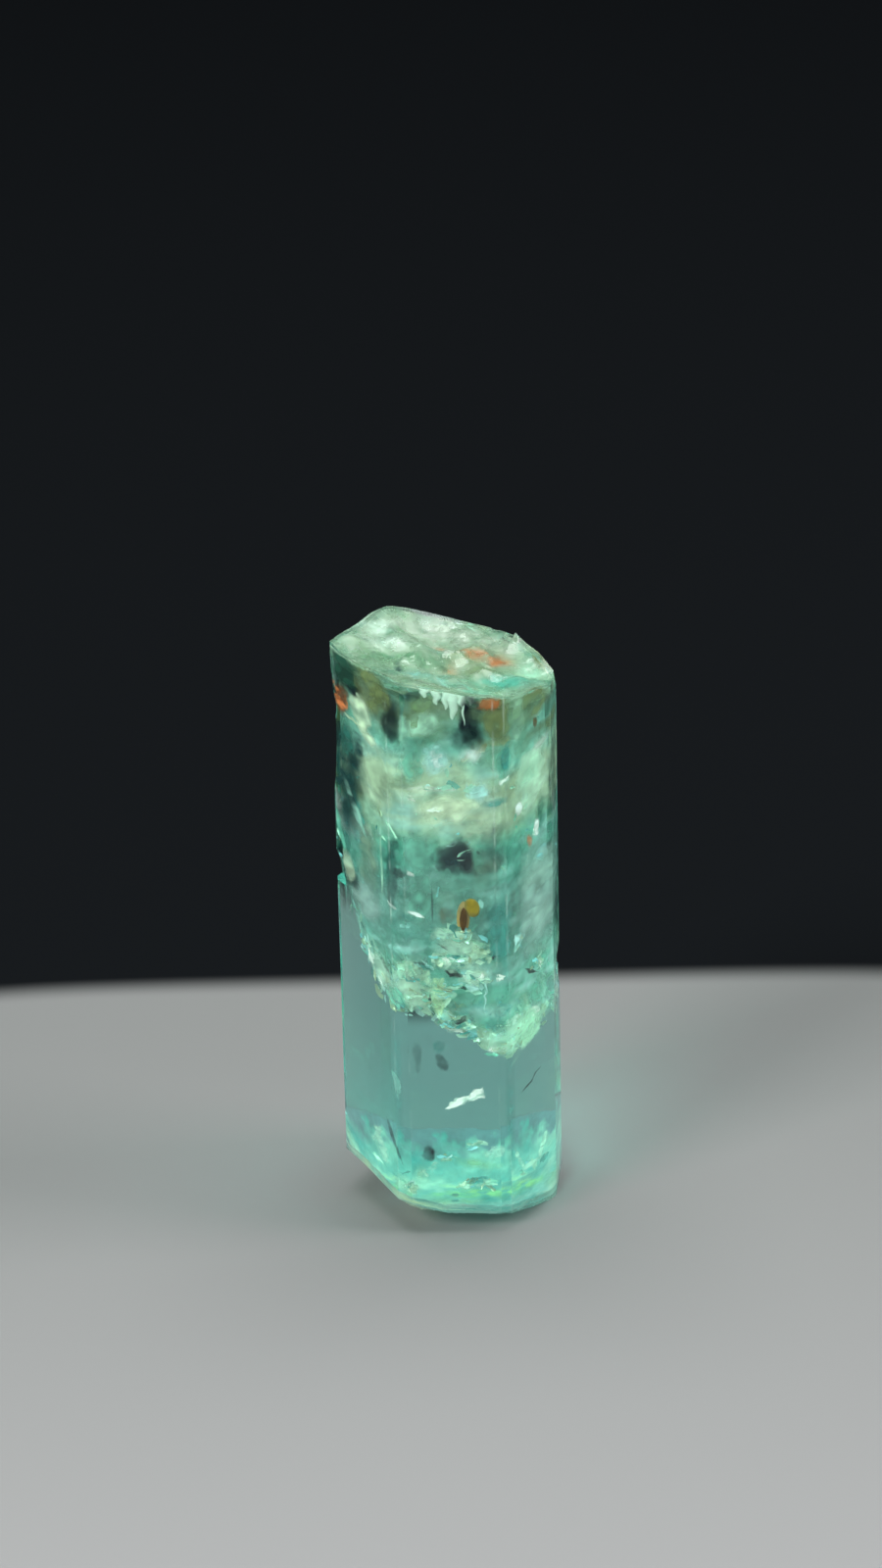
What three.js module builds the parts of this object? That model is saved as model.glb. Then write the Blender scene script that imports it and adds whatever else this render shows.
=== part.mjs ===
// An emerald crystal: one natural six-sided prism of beryl, broken across at both ends.
// Millimetres, +Z up along the prism, origin at the middle of the base that it stands on,
// -Y towards the widest front face, +X to its right.
//
// The skin is one closed grid. Each of its columns runs up the prism at one place round the
// cross-section: from the middle of the base, out over the lower break, up a side face and in
// over the upper break to the middle of the top. Chips are scoops cut into the side faces.
import * as THREE from "three";

// ---------- driving dimensions ----------
const DEG = Math.PI / 180;
const LOW_BAND_TOP = 2.8; // side rows below this follow the lower break
const HIGH_BAND_BOTTOM = 25.6; // side rows above this follow the upper break
const CHIPPED_FROM = 8.6; // no chip reaches lower on the sides, which need no rows there
const SIDE_STEP = 0.6; // height of one row of the side grid above that
const BAND_ROWS = 4; // rows in each of the two end bands
const UPPER_RINGS = 17; // steps over the upper break, from the rim to the innermost ring
const LOWER_RINGS = 9; // the same over the lower break
const HUB = 0.12; // the innermost ring's share of the way out to the rim
const LEDGE_GAP = 0.02; // a ledge's lip is this tall, so that it reads as a sharp step

// The six prism faces, each followed by the narrow face that trims the edge after it.
// turn: direction the face looks in, degrees anticlockwise from +X, seen from above.
// reach: distance of the face from the axis. columns: grid columns across it.
const FACES = [
  { turn: 270, reach: 4.8, columns: 9 }, // front
  { turn: 297.5, reach: 5.25, columns: 1 },
  { turn: 325, reach: 4.77, columns: 8 }, // right front
  { turn: 350, reach: 4.976, columns: 3 },
  { turn: 30, reach: 4.55, columns: 7 }, // right back
  { turn: 60, reach: 5.268, columns: 1 },
  { turn: 90, reach: 4.8, columns: 7 }, // back
  { turn: 120, reach: 5.254, columns: 1 },
  { turn: 150, reach: 4.5, columns: 8 }, // left back
  { turn: 180, reach: 5.1, columns: 1 },
  { turn: 210, reach: 4.5, columns: 9 }, // left front
  { turn: 240, reach: 5.153, columns: 1 },
];

// Chips along the side edges. Each is an ellipsoid taken out of the prism.
// A chip with a ledge stops dead at that height, above a flat lip.
const SIDE_CHIPS = [
  { at: [-6.68, -0.5, 16.2], radii: [2.0, 2.2, 2.8], ledge: 16.35 }, // notch, left edge
  { at: [-6.46, 0.1, 24.0], radii: [1.6, 1.8, 5.9] }, // long worn strip above it
  { at: [-6.32, -0.4, 25.2], radii: [1.45, 1.6, 1.3] }, // stained hollow in that strip
  { at: [6.66, -0.3, 11.6], radii: [1.8, 1.9, 2.4], ledge: 11.45 }, // notch, right edge
  { at: [6.75, -0.2, 11.2], radii: [1.8, 1.9, 2.3] }, // shallow scoop under it
  { at: [6.8, -0.2, 27.6], radii: [2.0, 2.2, 3.7] }, // worn upper right edge
];

// Heights of the two broken rims, as pairs of direction from the axis (degrees, as above)
// and height. Between two pairs the rim runs straight.
const UPPER_RIM = [
  [0, 26.35], [20, 26.95], [42, 27.05], [62, 26.6], [98, 27.6], [137, 28.25],
  [200, 28.25], [238, 28.6], [256, 28.1], [290, 27.7], [320, 27.05], [340, 26.6],
];
const LOWER_RIM = [
  [0, 0.65], [22, 1.4], [60, 2.0], [90, 2.25], [122, 2.2], [150, 2.1],
  [200, 2.05], [246, 1.65], [264, 1.15], [296, 1.0], [318, 0.4], [340, 0],
];

// The upper break: a sloping level, with shells flaked away below it. Each shell is the
// underside of a sphere, which leaves a shallow dish with a ridge where it meets the next.
const TOP_LEVEL = { height: 27.55, slopeX: -0.17, slopeY: -0.06 };
const TOP_RIM_GRIP = 3; // power by which the rim's own heights fade inwards
const TOP_SHELLS = [
  { at: [-2.7, -1.2], deep: 0.55, radius: 8.0 },
  { at: [1.9, -2.6], deep: 0.7, radius: 5.5 },
  { at: [3.2, 1.2], deep: 0.6, radius: 6.5 },
  { at: [-0.3, 3.0], deep: 0.6, radius: 5.0 },
  { at: [-3.6, 1.9], deep: 0.35, radius: 4.2 },
  { at: [0.1, -0.6], deep: 0.75, radius: 3.0 },
];
const CREASE_SIZE = 0.14; // unevenness of the upper break

// The lower break: flat where the crystal stands, curling up to its rim outside that.
const FOOT_SHARE = 0.46; // share of the way out to the rim that stays flat
const FOOT_CURL = 1.3; // power by which the break rises from there to the rim
const FOOT_STEPS = { every: 0.85, height: 0.3 }; // small risers across the rising part

// ---------- cross-section ----------

// Point where two vertical faces meet, each given by its direction and reach.
function faceCorner(a, b) {
  const [ax, ay] = [Math.cos(a.turn * DEG), Math.sin(a.turn * DEG)];
  const [bx, by] = [Math.cos(b.turn * DEG), Math.sin(b.turn * DEG)];
  const det = ax * by - ay * bx;
  return [(a.reach * by - b.reach * ay) / det, (ax * b.reach - bx * a.reach) / det];
}

// The cross-section's outline as points, one for each grid column, anticlockwise.
function sectionOutline() {
  return FACES.flatMap((face, i) => {
    const start = faceCorner(FACES[(i + FACES.length - 1) % FACES.length], face);
    const end = faceCorner(face, FACES[(i + 1) % FACES.length]);
    return Array.from({ length: face.columns }, (_, k) => {
      const t = k / face.columns;
      return [start[0] + t * (end[0] - start[0]), start[1] + t * (end[1] - start[1])];
    });
  });
}

// Distance from the axis to the outline in the direction of (x, y).
function outlineReach(x, y) {
  const along = FACES.map(({ turn, reach }) => {
    const facing = (x * Math.cos(turn * DEG) + y * Math.sin(turn * DEG)) / Math.hypot(x, y);
    return facing > 0 ? reach / facing : Infinity;
  });
  return Math.min(...along);
}

// ---------- breaks and chips ----------

// Height of a rim in the direction of (x, y), from its list of pairs.
function rimHeight(rim, x, y) {
  const turn = (Math.atan2(y, x) / DEG + 360) % 360;
  const after = rim.findIndex(([angle]) => angle > turn);
  const [b, high] = after < 0 ? [rim[0][0] + 360, rim[0][1]] : rim[after];
  const [a, low] = rim[(after < 0 ? rim.length : after) - 1];
  return low + ((high - low) * (turn - a)) / (b - a);
}

// Share of the way from the axis out to the cross-section's outline at which (x, y) lies.
function outlineShare(x, y) {
  const far = Math.hypot(x, y);
  return far > 0 ? Math.min(far / outlineReach(x, y), 1) : 0;
}

// Creases that keep the broken surfaces from being smooth: a sum of three folded waves.
function creases(x, y) {
  const fold = (phase) => 1 - 2 * Math.abs(Math.sin(phase));
  return (
    0.5 * fold(0.95 * x + 0.5 * y + 0.4) +
    0.3 * fold(-0.8 * x + 1.35 * y + 1.9) +
    0.2 * fold(2.1 * x - 1.6 * y + 0.7)
  );
}

// Height of the upper break over a point of the cross-section.
function upperBreak(x, y) {
  const share = outlineShare(x, y);
  const level = (px, py) => TOP_LEVEL.height + TOP_LEVEL.slopeX * px + TOP_LEVEL.slopeY * py;
  const far = share > 0 ? 1 / share : 0;
  const grip = share ** TOP_RIM_GRIP * (rimHeight(UPPER_RIM, x, y) - level(x * far, y * far));
  const dishes = TOP_SHELLS.map(({ at, deep, radius }) => {
    const off2 = (x - at[0]) ** 2 + (y - at[1]) ** 2;
    return radius - deep - Math.sqrt(Math.max(radius ** 2 - off2, 0));
  });
  const worn = Math.min(0, ...dishes) + CREASE_SIZE * creases(x, y);
  return level(x, y) + grip + (1 - share ** (2 * TOP_RIM_GRIP)) * worn;
}

// Height of the lower break over a point of the cross-section; 0 where the crystal stands.
function lowerBreak(x, y) {
  const rise = Math.max((outlineShare(x, y) - FOOT_SHARE) / (1 - FOOT_SHARE), 0);
  const steps = Math.sin((2 * Math.PI * (x + 0.4 * y)) / FOOT_STEPS.every) * rise * (1 - rise);
  return rimHeight(LOWER_RIM, x, y) * (rise ** FOOT_CURL + FOOT_STEPS.height * steps);
}

// How far out the side face stands at height z on a column whose outline point is (x, y),
// as a share of its full reach: 1, or less inside a chip.
function sideShare(x, y, z) {
  let share = 1;
  for (const { at, radii, ledge } of SIDE_CHIPS) {
    if (ledge !== undefined && z < ledge) continue;
    const c = 1 - ((z - at[2]) / radii[2]) ** 2;
    const a = (x / radii[0]) ** 2 + (y / radii[1]) ** 2;
    const b = (x * at[0]) / radii[0] ** 2 + (y * at[1]) / radii[1] ** 2;
    const reach = (at[0] / radii[0]) ** 2 + (at[1] / radii[1]) ** 2 - c;
    const root = b * b - a * reach;
    const near = c > 0 && root > 0 ? (b - Math.sqrt(root)) / a : 1;
    if (near > 0) share = Math.min(share, near);
  }
  return share;
}

// ---------- the closed grid ----------

// Heights of the side rows between the two end bands, with a pair of rows at each ledge.
function middleHeights() {
  const rows = Math.round((HIGH_BAND_BOTTOM - CHIPPED_FROM) / SIDE_STEP);
  const heights = Array.from(
    { length: rows + 1 },
    (_, i) => CHIPPED_FROM + ((HIGH_BAND_BOTTOM - CHIPPED_FROM) * i) / rows,
  );
  const ledges = SIDE_CHIPS.filter((chip) => chip.ledge !== undefined).map((chip) => chip.ledge);
  const clear = heights.filter((h) => ledges.every((l) => Math.abs(h - l) > SIDE_STEP / 3));
  const lips = ledges.flatMap((l) => [l - LEDGE_GAP, l]);
  return [LOW_BAND_TOP, ...clear, ...lips].sort((p, q) => p - q);
}

// Every ring of the grid from the base's middle to the top's, as functions of a column's
// outline point.
function gridRings() {
  const onSide = (x, y, z) => {
    const share = sideShare(x, y, z);
    return [x * share, y * share, z];
  };
  const onBreak = (height, way) => (x, y) => {
    const share = sideShare(x, y, height(x, y)) * (HUB + (1 - HUB) * way);
    return [x * share, y * share, height(x * share, y * share)];
  };
  const inBand = (height, level, row) => (x, y) => {
    const edge = height(x, y);
    return onSide(x, y, edge + ((level - edge) * row) / BAND_ROWS);
  };
  const rings = [];
  for (let i = 0; i <= LOWER_RINGS; i += 1) rings.push(onBreak(lowerBreak, i / LOWER_RINGS));
  for (let i = 1; i < BAND_ROWS; i += 1) rings.push(inBand(lowerBreak, LOW_BAND_TOP, i));
  for (const z of middleHeights()) rings.push((x, y) => onSide(x, y, z));
  for (let i = BAND_ROWS - 1; i > 0; i -= 1) {
    rings.push(inBand(upperBreak, HIGH_BAND_BOTTOM, i));
  }
  for (let i = UPPER_RINGS; i >= 0; i -= 1) rings.push(onBreak(upperBreak, i / UPPER_RINGS));
  return rings;
}

function crystalGeometry() {
  const outline = sectionOutline();
  const rings = gridRings();
  const count = outline.length;
  const points = [[0, 0, lowerBreak(0, 0)]];
  for (const ring of rings) {
    for (const [x, y] of outline) points.push(ring(x, y));
  }
  points.push([0, 0, upperBreak(0, 0)]);
  const last = points.length - 1;
  const at = (ring, column) => 1 + ring * count + (column % count);
  const index = [];
  for (let k = 0; k < count; k += 1) {
    index.push(0, at(0, k + 1), at(0, k));
    index.push(last, at(rings.length - 1, k), at(rings.length - 1, k + 1));
    for (let r = 0; r + 1 < rings.length; r += 1) {
      index.push(at(r, k), at(r, k + 1), at(r + 1, k + 1));
      index.push(at(r, k), at(r + 1, k + 1), at(r + 1, k));
    }
  }
  const geometry = new THREE.BufferGeometry();
  geometry.setAttribute("position", new THREE.Float32BufferAttribute(points.flat(), 3));
  geometry.setIndex(index);
  geometry.computeVertexNormals();
  return geometry;
}

const beryl = new THREE.MeshStandardMaterial({
  color: 0x7fc9ab,
  roughness: 0.12,
  metalness: 0,
  transparent: true,
  opacity: 0.6,
  flatShading: true,
});

const crystal = new THREE.Mesh(crystalGeometry(), beryl);
crystal.name = "emerald_crystal";

const part = new THREE.Group();
part.add(crystal);

export default part;
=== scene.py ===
import bpy
import numpy as np
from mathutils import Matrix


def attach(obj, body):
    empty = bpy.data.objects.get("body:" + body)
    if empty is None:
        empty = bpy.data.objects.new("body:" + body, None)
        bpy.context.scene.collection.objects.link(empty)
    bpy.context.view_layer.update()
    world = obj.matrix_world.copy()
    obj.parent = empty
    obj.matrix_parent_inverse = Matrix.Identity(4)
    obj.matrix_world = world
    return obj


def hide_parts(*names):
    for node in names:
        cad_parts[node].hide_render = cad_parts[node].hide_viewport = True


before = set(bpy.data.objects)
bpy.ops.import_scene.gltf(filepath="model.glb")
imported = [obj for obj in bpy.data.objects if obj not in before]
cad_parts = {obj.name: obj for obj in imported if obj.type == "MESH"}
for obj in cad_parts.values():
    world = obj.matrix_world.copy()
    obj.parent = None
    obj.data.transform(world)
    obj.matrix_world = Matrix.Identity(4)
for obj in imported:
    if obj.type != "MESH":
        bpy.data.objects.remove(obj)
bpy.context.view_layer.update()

# --------------------------------------
# The floor: a square matt board with rounded corners, sprayed a pale grey, on a black cloth.
# The crystal stands behind its middle.
# --------------------------------------
MM = 0.001  # sizes below are in millimetres; meshes are in metres
BOARD_MIDDLE = (0.0, -15.4)
BOARD_HALF = 36.0
BOARD_ROUNDING = 6.0
BOARD_SOFT_EDGE = 1.2
CLOTH_REACH = 900.0
# The second grey is painted shade: the board at the back, darker where the lamps' light falls off.
BOARD_GREY, GREY_IN_PAINTED_SHADE = (0.335, 0.34, 0.34), (0.228, 0.238, 0.233)
CLOTH_GREY = (0.0042, 0.0054, 0.0066)


def feed(tree, place, value):
    """Links a socket to a node's input, or sets the input's own value."""
    if isinstance(value, Socket):
        tree.links.new(value.socket, place)
    else:
        place.default_value = (*value, 1.0) if place.type == "RGBA" else value


class Socket:
    """A node socket that can be used in sums: an operator adds the Math node it stands for."""

    def __init__(self, tree, socket):
        self.tree, self.socket = tree, socket

    def maths(self, operation, first, *others):
        """A Math node on sockets and numbers, in their order."""
        node = self.tree.nodes.new("ShaderNodeMath")
        node.operation = operation
        for place, value in zip(node.inputs, (first, *others)):
            feed(self.tree, place, value)
        return Socket(self.tree, node.outputs[0])

    __add__ = __radd__ = lambda self, other: self.maths("ADD", self, other)
    __mul__ = __rmul__ = lambda self, other: self.maths("MULTIPLY", self, other)
    __sub__ = lambda self, other: self.maths("SUBTRACT", self, other)
    __rsub__ = lambda self, other: self.maths("SUBTRACT", other, self)
    __truediv__ = lambda self, other: self.maths("DIVIDE", self, other)
    __pow__ = lambda self, other: self.maths("POWER", self, other)
    __abs__ = lambda self: self.maths("ABSOLUTE", self)

    def clamped(self):
        """Kept between 0 and 1."""
        return self.maths("MINIMUM", self.maths("MAXIMUM", self, 0.0), 1.0)

    def between(self, low, high):
        """0 below low, 1 above high and a smooth rise between them."""
        node = self.tree.nodes.new("ShaderNodeMapRange")
        node.interpolation_type = "SMOOTHSTEP"
        for name, value in (("Value", self), ("From Min", low), ("From Max", high)):
            feed(self.tree, node.inputs[name], value)
        return Socket(self.tree, node.outputs["Result"])


class Finish:
    """A new material, with one method that adds any node."""

    def __init__(self, name):
        self.material = bpy.data.materials.new(name)
        self.material.use_nodes = True
        self.tree = self.material.node_tree
        self.tree.nodes.clear()

    def node(self, kind, output, settings=None, **values):
        """Adds a node of a kind, sets its settings, then feeds its sockets, which are named with
        _ for a space or by _ and a number, and returns one output."""
        node = self.tree.nodes.new("ShaderNode" + kind)
        for name, value in (settings or {}).items():
            setattr(node, name, value)
        for name, value in values.items():
            place = node.inputs[int(name[1:]) if name[1:].isdigit() else name.replace("_", " ")]
            feed(self.tree, place, value)
        return Socket(self.tree, node.outputs[output])

    def shows(self, surface, volume=None):
        """Joins the shader to the material's output."""
        out = self.tree.nodes.new("ShaderNodeOutputMaterial")
        feed(self.tree, out.inputs["Surface"], surface)
        if volume:
            feed(self.tree, out.inputs["Volume"], volume)
        return self.material


def grid_faces(rows, columns, closed):
    """Quads of a grid of points numbered row by row; closed joins the last column to the first."""
    across = columns if closed else columns - 1
    row, column = np.meshgrid(np.arange(rows - 1), np.arange(across), indexing="ij")
    nearer, farther = row * columns + column, row * columns + (column + 1) % columns
    return np.stack([nearer, farther, farther + columns, nearer + columns], -1).reshape(-1, 4)


def new_piece(name, points, faces, material):
    """A mesh object at the origin from points in millimetres and faces of three or four."""
    mesh = bpy.data.meshes.new(name)
    mesh.from_pydata((np.asarray(points, float) * MM).tolist(), [], [list(f) for f in faces])
    mesh.validate()
    mesh.materials.append(material)
    piece = bpy.data.objects.new(name, mesh)
    bpy.context.scene.collection.objects.link(piece)
    return piece


def board_and_cloth():
    """One level square. The board is where |x|^p + |y|^p is small, p being its rounding and x and y the
    place beside BOARD_MIDDLE in halves of the board. Its grey is painted darker towards the back:
    painted shade, where the lamps' light falls off."""
    finish = Finish("board_and_cloth")
    place = finish.node("TexCoord", "Object")
    x = finish.node("SeparateXYZ", "X", Vector=place) / MM - BOARD_MIDDLE[0]
    y = finish.node("SeparateXYZ", "Y", Vector=place) / MM - BOARD_MIDDLE[1]
    across, deep = ((abs(c) / BOARD_HALF) ** BOARD_ROUNDING for c in (x, y))
    away = (across + deep) ** (1 / BOARD_ROUNDING) * BOARD_HALF
    edge = 1.0 - away.between(BOARD_HALF - BOARD_SOFT_EDGE, BOARD_HALF + BOARD_SOFT_EDGE)
    # Painted shade: the grey darkens towards the back, where the light falls off.
    behind = y.between(-BOARD_HALF, BOARD_HALF)
    colours = {"data_type": "RGBA"}
    grey = finish.node("Mix", 2, colours, Factor=behind, _6=BOARD_GREY, _7=GREY_IN_PAINTED_SHADE)
    colour = finish.node("Mix", 2, colours, Factor=edge, _6=CLOTH_GREY, _7=grey)
    shader = finish.node(
        "BsdfPrincipled", "BSDF", Base_Color=colour, Roughness=0.9, Specular_IOR_Level=0.05
    )
    half = CLOTH_REACH
    corners = [(-half, -half, 0), (half, -half, 0), (half, half, 0), (-half, half, 0)]
    return new_piece("board_and_cloth", corners, [(0, 1, 2, 3)], finish.shows(shader))


board_and_cloth()

# --------------------------------------
# The crystal's skin: one closed clear body. Its prism faces are flat and glossy as they
# grew; both ends are broken surfaces, and chips have been knocked off its side edges.
# --------------------------------------
DEG = np.pi / 180
# The prism faces and the narrow faces that trim the edges between them: the direction each
# looks in, degrees anticlockwise from +X seen from above, its distance from the axis, and
# how many columns of the grid cross it.
FACES = np.array(
    [
        (270, 4.8, 64),  # front
        (297.5, 5.25, 6),
        (325, 4.77, 44),  # right front
        (350, 4.976, 20),
        (30, 4.55, 44),  # right back
        (60, 5.268, 5),
        (90, 4.8, 48),  # back
        (120, 5.254, 5),
        (150, 4.5, 46),  # left back
        (180, 5.1, 5),
        (210, 4.5, 56),  # left front
        (240, 5.153, 8),
    ]
)
# Chips along the side edges, each an ellipsoid taken out: its middle, its radii, and the
# height of the ledge at which it stops dead (none: -1).
SIDE_CHIPS = [
    ((-6.68, -0.5, 16.2), (2.0, 2.2, 2.8), 16.35),  # notch, left edge
    ((-6.46, 0.1, 24.0), (1.6, 1.8, 5.9), -1),  # long worn strip above it
    ((-6.32, -0.4, 25.2), (1.45, 1.6, 1.3), -1),  # stained hollow in that strip
    ((6.66, -0.3, 11.6), (1.8, 1.9, 2.4), 11.45),  # notch, right edge
    ((6.75, -0.2, 11.2), (1.8, 1.9, 2.3), -1),  # shallow scoop under it
    ((6.8, -0.2, 27.6), (2.0, 2.2, 3.7), -1),  # worn upper right edge
]
# The two broken rims: pairs of a direction from the axis, in degrees, and the height there.
UPPER_RIM = [
    (0, 26.35), (20, 26.95), (42, 27.05), (62, 26.6), (98, 27.6), (137, 28.25),
    (200, 28.25), (238, 28.6), (256, 28.1), (290, 27.7), (320, 27.05), (340, 26.6),
]  # fmt: skip
LOWER_RIM = [
    (0, 0.65), (22, 1.4), (60, 2.0), (90, 2.25), (122, 2.2), (150, 2.1),
    (200, 2.05), (246, 1.65), (264, 1.15), (296, 1.0), (318, 0.4), (340, 0),
]  # fmt: skip
TOP_LEVEL, TOP_SLOPE, TOP_HIGHEST = 27.55, (-0.17, -0.06), 28.56
TOP_RIM_GRIP, RIM_WEAR = 3, 0.25  # how close to the rim it rules, what relief is left there
# A splinter left standing near the rim: its place, height and half width.
SPUR = (3.35, 2.95, 0.36, 0.1)
# Shells that the upper break flaked away along: middle, depth and radius of each.
TOP_SHELLS = [
    (-2.7, -1.2, 0.55, 8.0), (1.9, -2.6, 0.7, 5.5), (3.2, 1.2, 0.6, 6.5),
    (-0.3, 3.0, 0.6, 5.0), (-3.6, 1.9, 0.35, 4.2), (0.1, -0.6, 0.75, 3.0),
]  # fmt: skip
# Long creases across it: share of CREASE_SIZE, turn in radians a millimetre along x and y, shift.
CREASES = [(0.5, 0.95, 0.5, 0.4), (0.3, -0.8, 1.35, 1.9), (0.2, 2.1, -1.6, 0.7)]
CREASE_SIZE, GRAIN_SIZE = 0.2, 0.05
# Folds: the first wave in radians a millimetre, how much finer and how far turned the next is.
FOLD_WAVE, FOLD_FINER, FOLD_TURN = 2.2, 1.9, 1.1
FOOT_SHARE, FOOT_CURL, FOOT_STEP_HEIGHT = 0.46, 1.3, 0.35
LOW_BAND_TOP, HIGH_BAND_BOTTOM = 2.8, 25.6
CAP_ROWS, FOOT_ROWS, BAND_ROWS, SIDE_ROWS = 84, 40, 12, 84
MIDDLE_SHARE, LEDGE_STEP, CHIPPED_SHARE, SHARP_ANGLE = 0.02, 0.01, 0.995, 22
BERYL_IOR, BERYL_TINT, LAMP_TINT = 1.58, (0.74, 0.98, 0.94), (0.8, 0.98, 0.92)
DEPTH_TINT, DEPTH_DENSITY = (0.33, 0.88, 0.84), 105.0
# Waves a metre of the growth lines, which run up the faces, the swells and the scuffs.
GROWTH_LINES, SWELLS, SCUFFS = (2600.0, 2600.0, 90.0), 420.0, 900.0


def section_outline(columns=FACES[:, 2]):
    """Points along the prism's section, as many across each face as columns says. Its corners
    are where the lines of neighbouring faces meet."""
    turn, reach, count = FACES[:, 0] * DEG, FACES[:, 1], columns.astype(int)
    after, far = np.roll(turn, -1), np.roll(reach, -1)
    across = np.sin(after - turn)
    corner = np.stack(
        [
            (reach * np.sin(after) - far * np.sin(turn)) / across,
            (far * np.cos(turn) - reach * np.cos(after)) / across,
        ],
        -1,
    )
    start, end = (np.repeat(ends, count, 0) for ends in (np.roll(corner, 1, 0), corner))
    share = np.concatenate([np.arange(n) / n for n in count])[:, None]
    return start * (1 - share) + end * share


def outline_share(x, y):
    """Distance from the axis as a share of the distance to the outline the same way."""
    turn, reach = FACES[:, 0] * DEG, FACES[:, 1]
    return np.max((x[..., None] * np.cos(turn) + y[..., None] * np.sin(turn)) / reach, -1)


def rim_height(rim, x, y):
    """The rim's height in the direction of each point, straight between its pairs."""
    directions, heights = zip(*rim)
    return np.interp(np.arctan2(y, x) / DEG, directions, heights, period=360)


def folds(x, y, size, seed):
    """Creased relief: four folded, bent sine waves, each finer and lower than the last."""
    total, turn = np.zeros_like(x), seed
    for octave in range(4):
        finer = FOLD_FINER**octave
        wave = FOLD_WAVE * finer
        px, py = x * np.cos(turn) + y * np.sin(turn), y * np.cos(turn) - x * np.sin(turn)
        bend = 0.35 * np.sin(0.9 * wave * px + seed) + 0.25 * np.sin(1.3 * wave * py - seed)
        total += (0.5 - np.abs(np.sin(wave * py + bend + seed * octave))) / finer
        turn += FOLD_TURN
    return size * total


def upper_break(x, y):
    """A sloping level gripped by the rim's heights, less dished shells, plus creases and folds
    that fade at the rim, and a spur shaped as a bell."""
    share = np.clip(outline_share(x, y), 1e-6, 1)
    level = TOP_LEVEL + TOP_SLOPE[0] * x + TOP_SLOPE[1] * y
    rim_level = TOP_LEVEL + (TOP_SLOPE[0] * x + TOP_SLOPE[1] * y) / share
    grip = share**TOP_RIM_GRIP * (rim_height(UPPER_RIM, x, y) - rim_level)
    dish = np.zeros_like(x)
    for sx, sy, deep, radius in TOP_SHELLS:
        bowl = radius - deep - np.sqrt(np.maximum(radius**2 - (x - sx) ** 2 - (y - sy) ** 2, 0))
        dish = np.minimum(dish, bowl)
    crease = sum(h * (1 - 2 * np.abs(np.sin(a * x + b * y + shift))) for h, a, b, shift in CREASES)
    worn = dish + CREASE_SIZE * crease + folds(x, y, GRAIN_SIZE, 1.3)
    worn = worn * (1 - (1 - RIM_WEAR) * share ** (2 * TOP_RIM_GRIP))
    spur = SPUR[2] * np.exp(-((x - SPUR[0]) ** 2 + (y - SPUR[1]) ** 2) / SPUR[3] ** 2)
    return np.minimum(level + grip + worn + spur, TOP_HIGHEST)


def lower_break(x, y):
    """Level within FOOT_SHARE of the outline, then curling up in creased steps to its rim."""
    rise = np.clip((outline_share(x, y) - FOOT_SHARE) / (1 - FOOT_SHARE), 0, 1)
    steps = folds(x, y, FOOT_STEP_HEIGHT, 2.1) * rise * (1 - rise)
    return rim_height(LOWER_RIM, x, y) * np.maximum(rise**FOOT_CURL + steps, 0)


def side_share(x, y, z):
    """How far out the side stands, as a share of the outline: less than 1 inside a chip, where
    it is the nearer root of the chip's ellipsoid on the ray from the axis through (x, y)."""
    share = np.ones_like(x)
    for at, radii, ledge in SIDE_CHIPS:
        rx, ry, rz = radii
        c = 1 - ((z - at[2]) / rz) ** 2
        a = (x / rx) ** 2 + (y / ry) ** 2
        b = x * at[0] / rx**2 + y * at[1] / ry**2
        root = b * b - a * ((at[0] / rx) ** 2 + (at[1] / ry) ** 2 - c)
        near = (b - np.sqrt(np.maximum(root, 0))) / a
        inside = (c > 0) & (root > 0) & (near > 0) & (z >= ledge)
        share = np.where(inside, np.minimum(share, near), share)
    return share


def skin_rows():
    """Every row of the skin's grid as arrays of points: out across the base, up the sides, which
    have a row at each ledge and one just under it, and in across the top."""
    x, y = section_outline().T
    foot, top = lower_break(x, y), upper_break(x, y)
    rows = []
    for way in np.linspace(MIDDLE_SHARE, 1, FOOT_ROWS):
        share = side_share(x, y, foot) * way
        rows.append((x * share, y * share, lower_break(x * share, y * share)))
    steps = range(1, BAND_ROWS)
    heights = [foot + (LOW_BAND_TOP - foot) * i / BAND_ROWS for i in steps]
    levels = np.linspace(LOW_BAND_TOP, HIGH_BAND_BOTTOM, SIDE_ROWS)
    ledges = [chip[2] for chip in SIDE_CHIPS if chip[2] > 0]
    levels = sorted([*levels, *ledges, *(ledge - LEDGE_STEP for ledge in ledges)])
    heights += [np.full_like(x, level) for level in levels]
    heights += [HIGH_BAND_BOTTOM + (top - HIGH_BAND_BOTTOM) * i / BAND_ROWS for i in steps]
    for z in heights:
        share = side_share(x, y, z)
        rows.append((x * share, y * share, z))
    for way in np.linspace(1, MIDDLE_SHARE, CAP_ROWS):
        share = side_share(x, y, top) * way
        rows.append((x * share, y * share, upper_break(x * share, y * share)))
    return np.array([np.stack(row, -1) for row in rows])


def crystal_skin(material):
    """The closed grid of skin_rows, with a middle point under the base and over the top."""
    rows = skin_rows()
    count = rows.shape[1]
    nought = np.zeros(1)
    ends = [(0, 0, lower_break(nought, nought)[0]), (0, 0, upper_break(nought, nought)[0])]
    points = np.concatenate([rows.reshape(-1, 3), ends])
    around = np.arange(count)
    after = (around + 1) % count
    low, high = len(points) - 2, len(points) - 1
    last = (len(rows) - 1) * count
    faces = [
        *grid_faces(len(rows), count, True).tolist(),
        *np.stack([after, around, np.full(count, low)], -1).tolist(),
        *np.stack([last + around, last + after, np.full(count, high)], -1).tolist(),
    ]
    piece = new_piece("crystal_skin", points, faces, material)
    broken = np.zeros(len(points), np.float32)
    broken[: FOOT_ROWS * count], broken[-CAP_ROWS * count - 2 :] = 1, 1
    broken[outline_share(points[:, 0], points[:, 1]) < CHIPPED_SHARE] = 1
    layer = piece.data.attributes.new("broken", "FLOAT", "POINT")
    layer.data.foreach_set("value", broken)
    piece.data.shade_smooth()
    piece.data.set_sharp_from_angle(angle=SHARP_ANGLE * DEG)
    return piece


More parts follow.
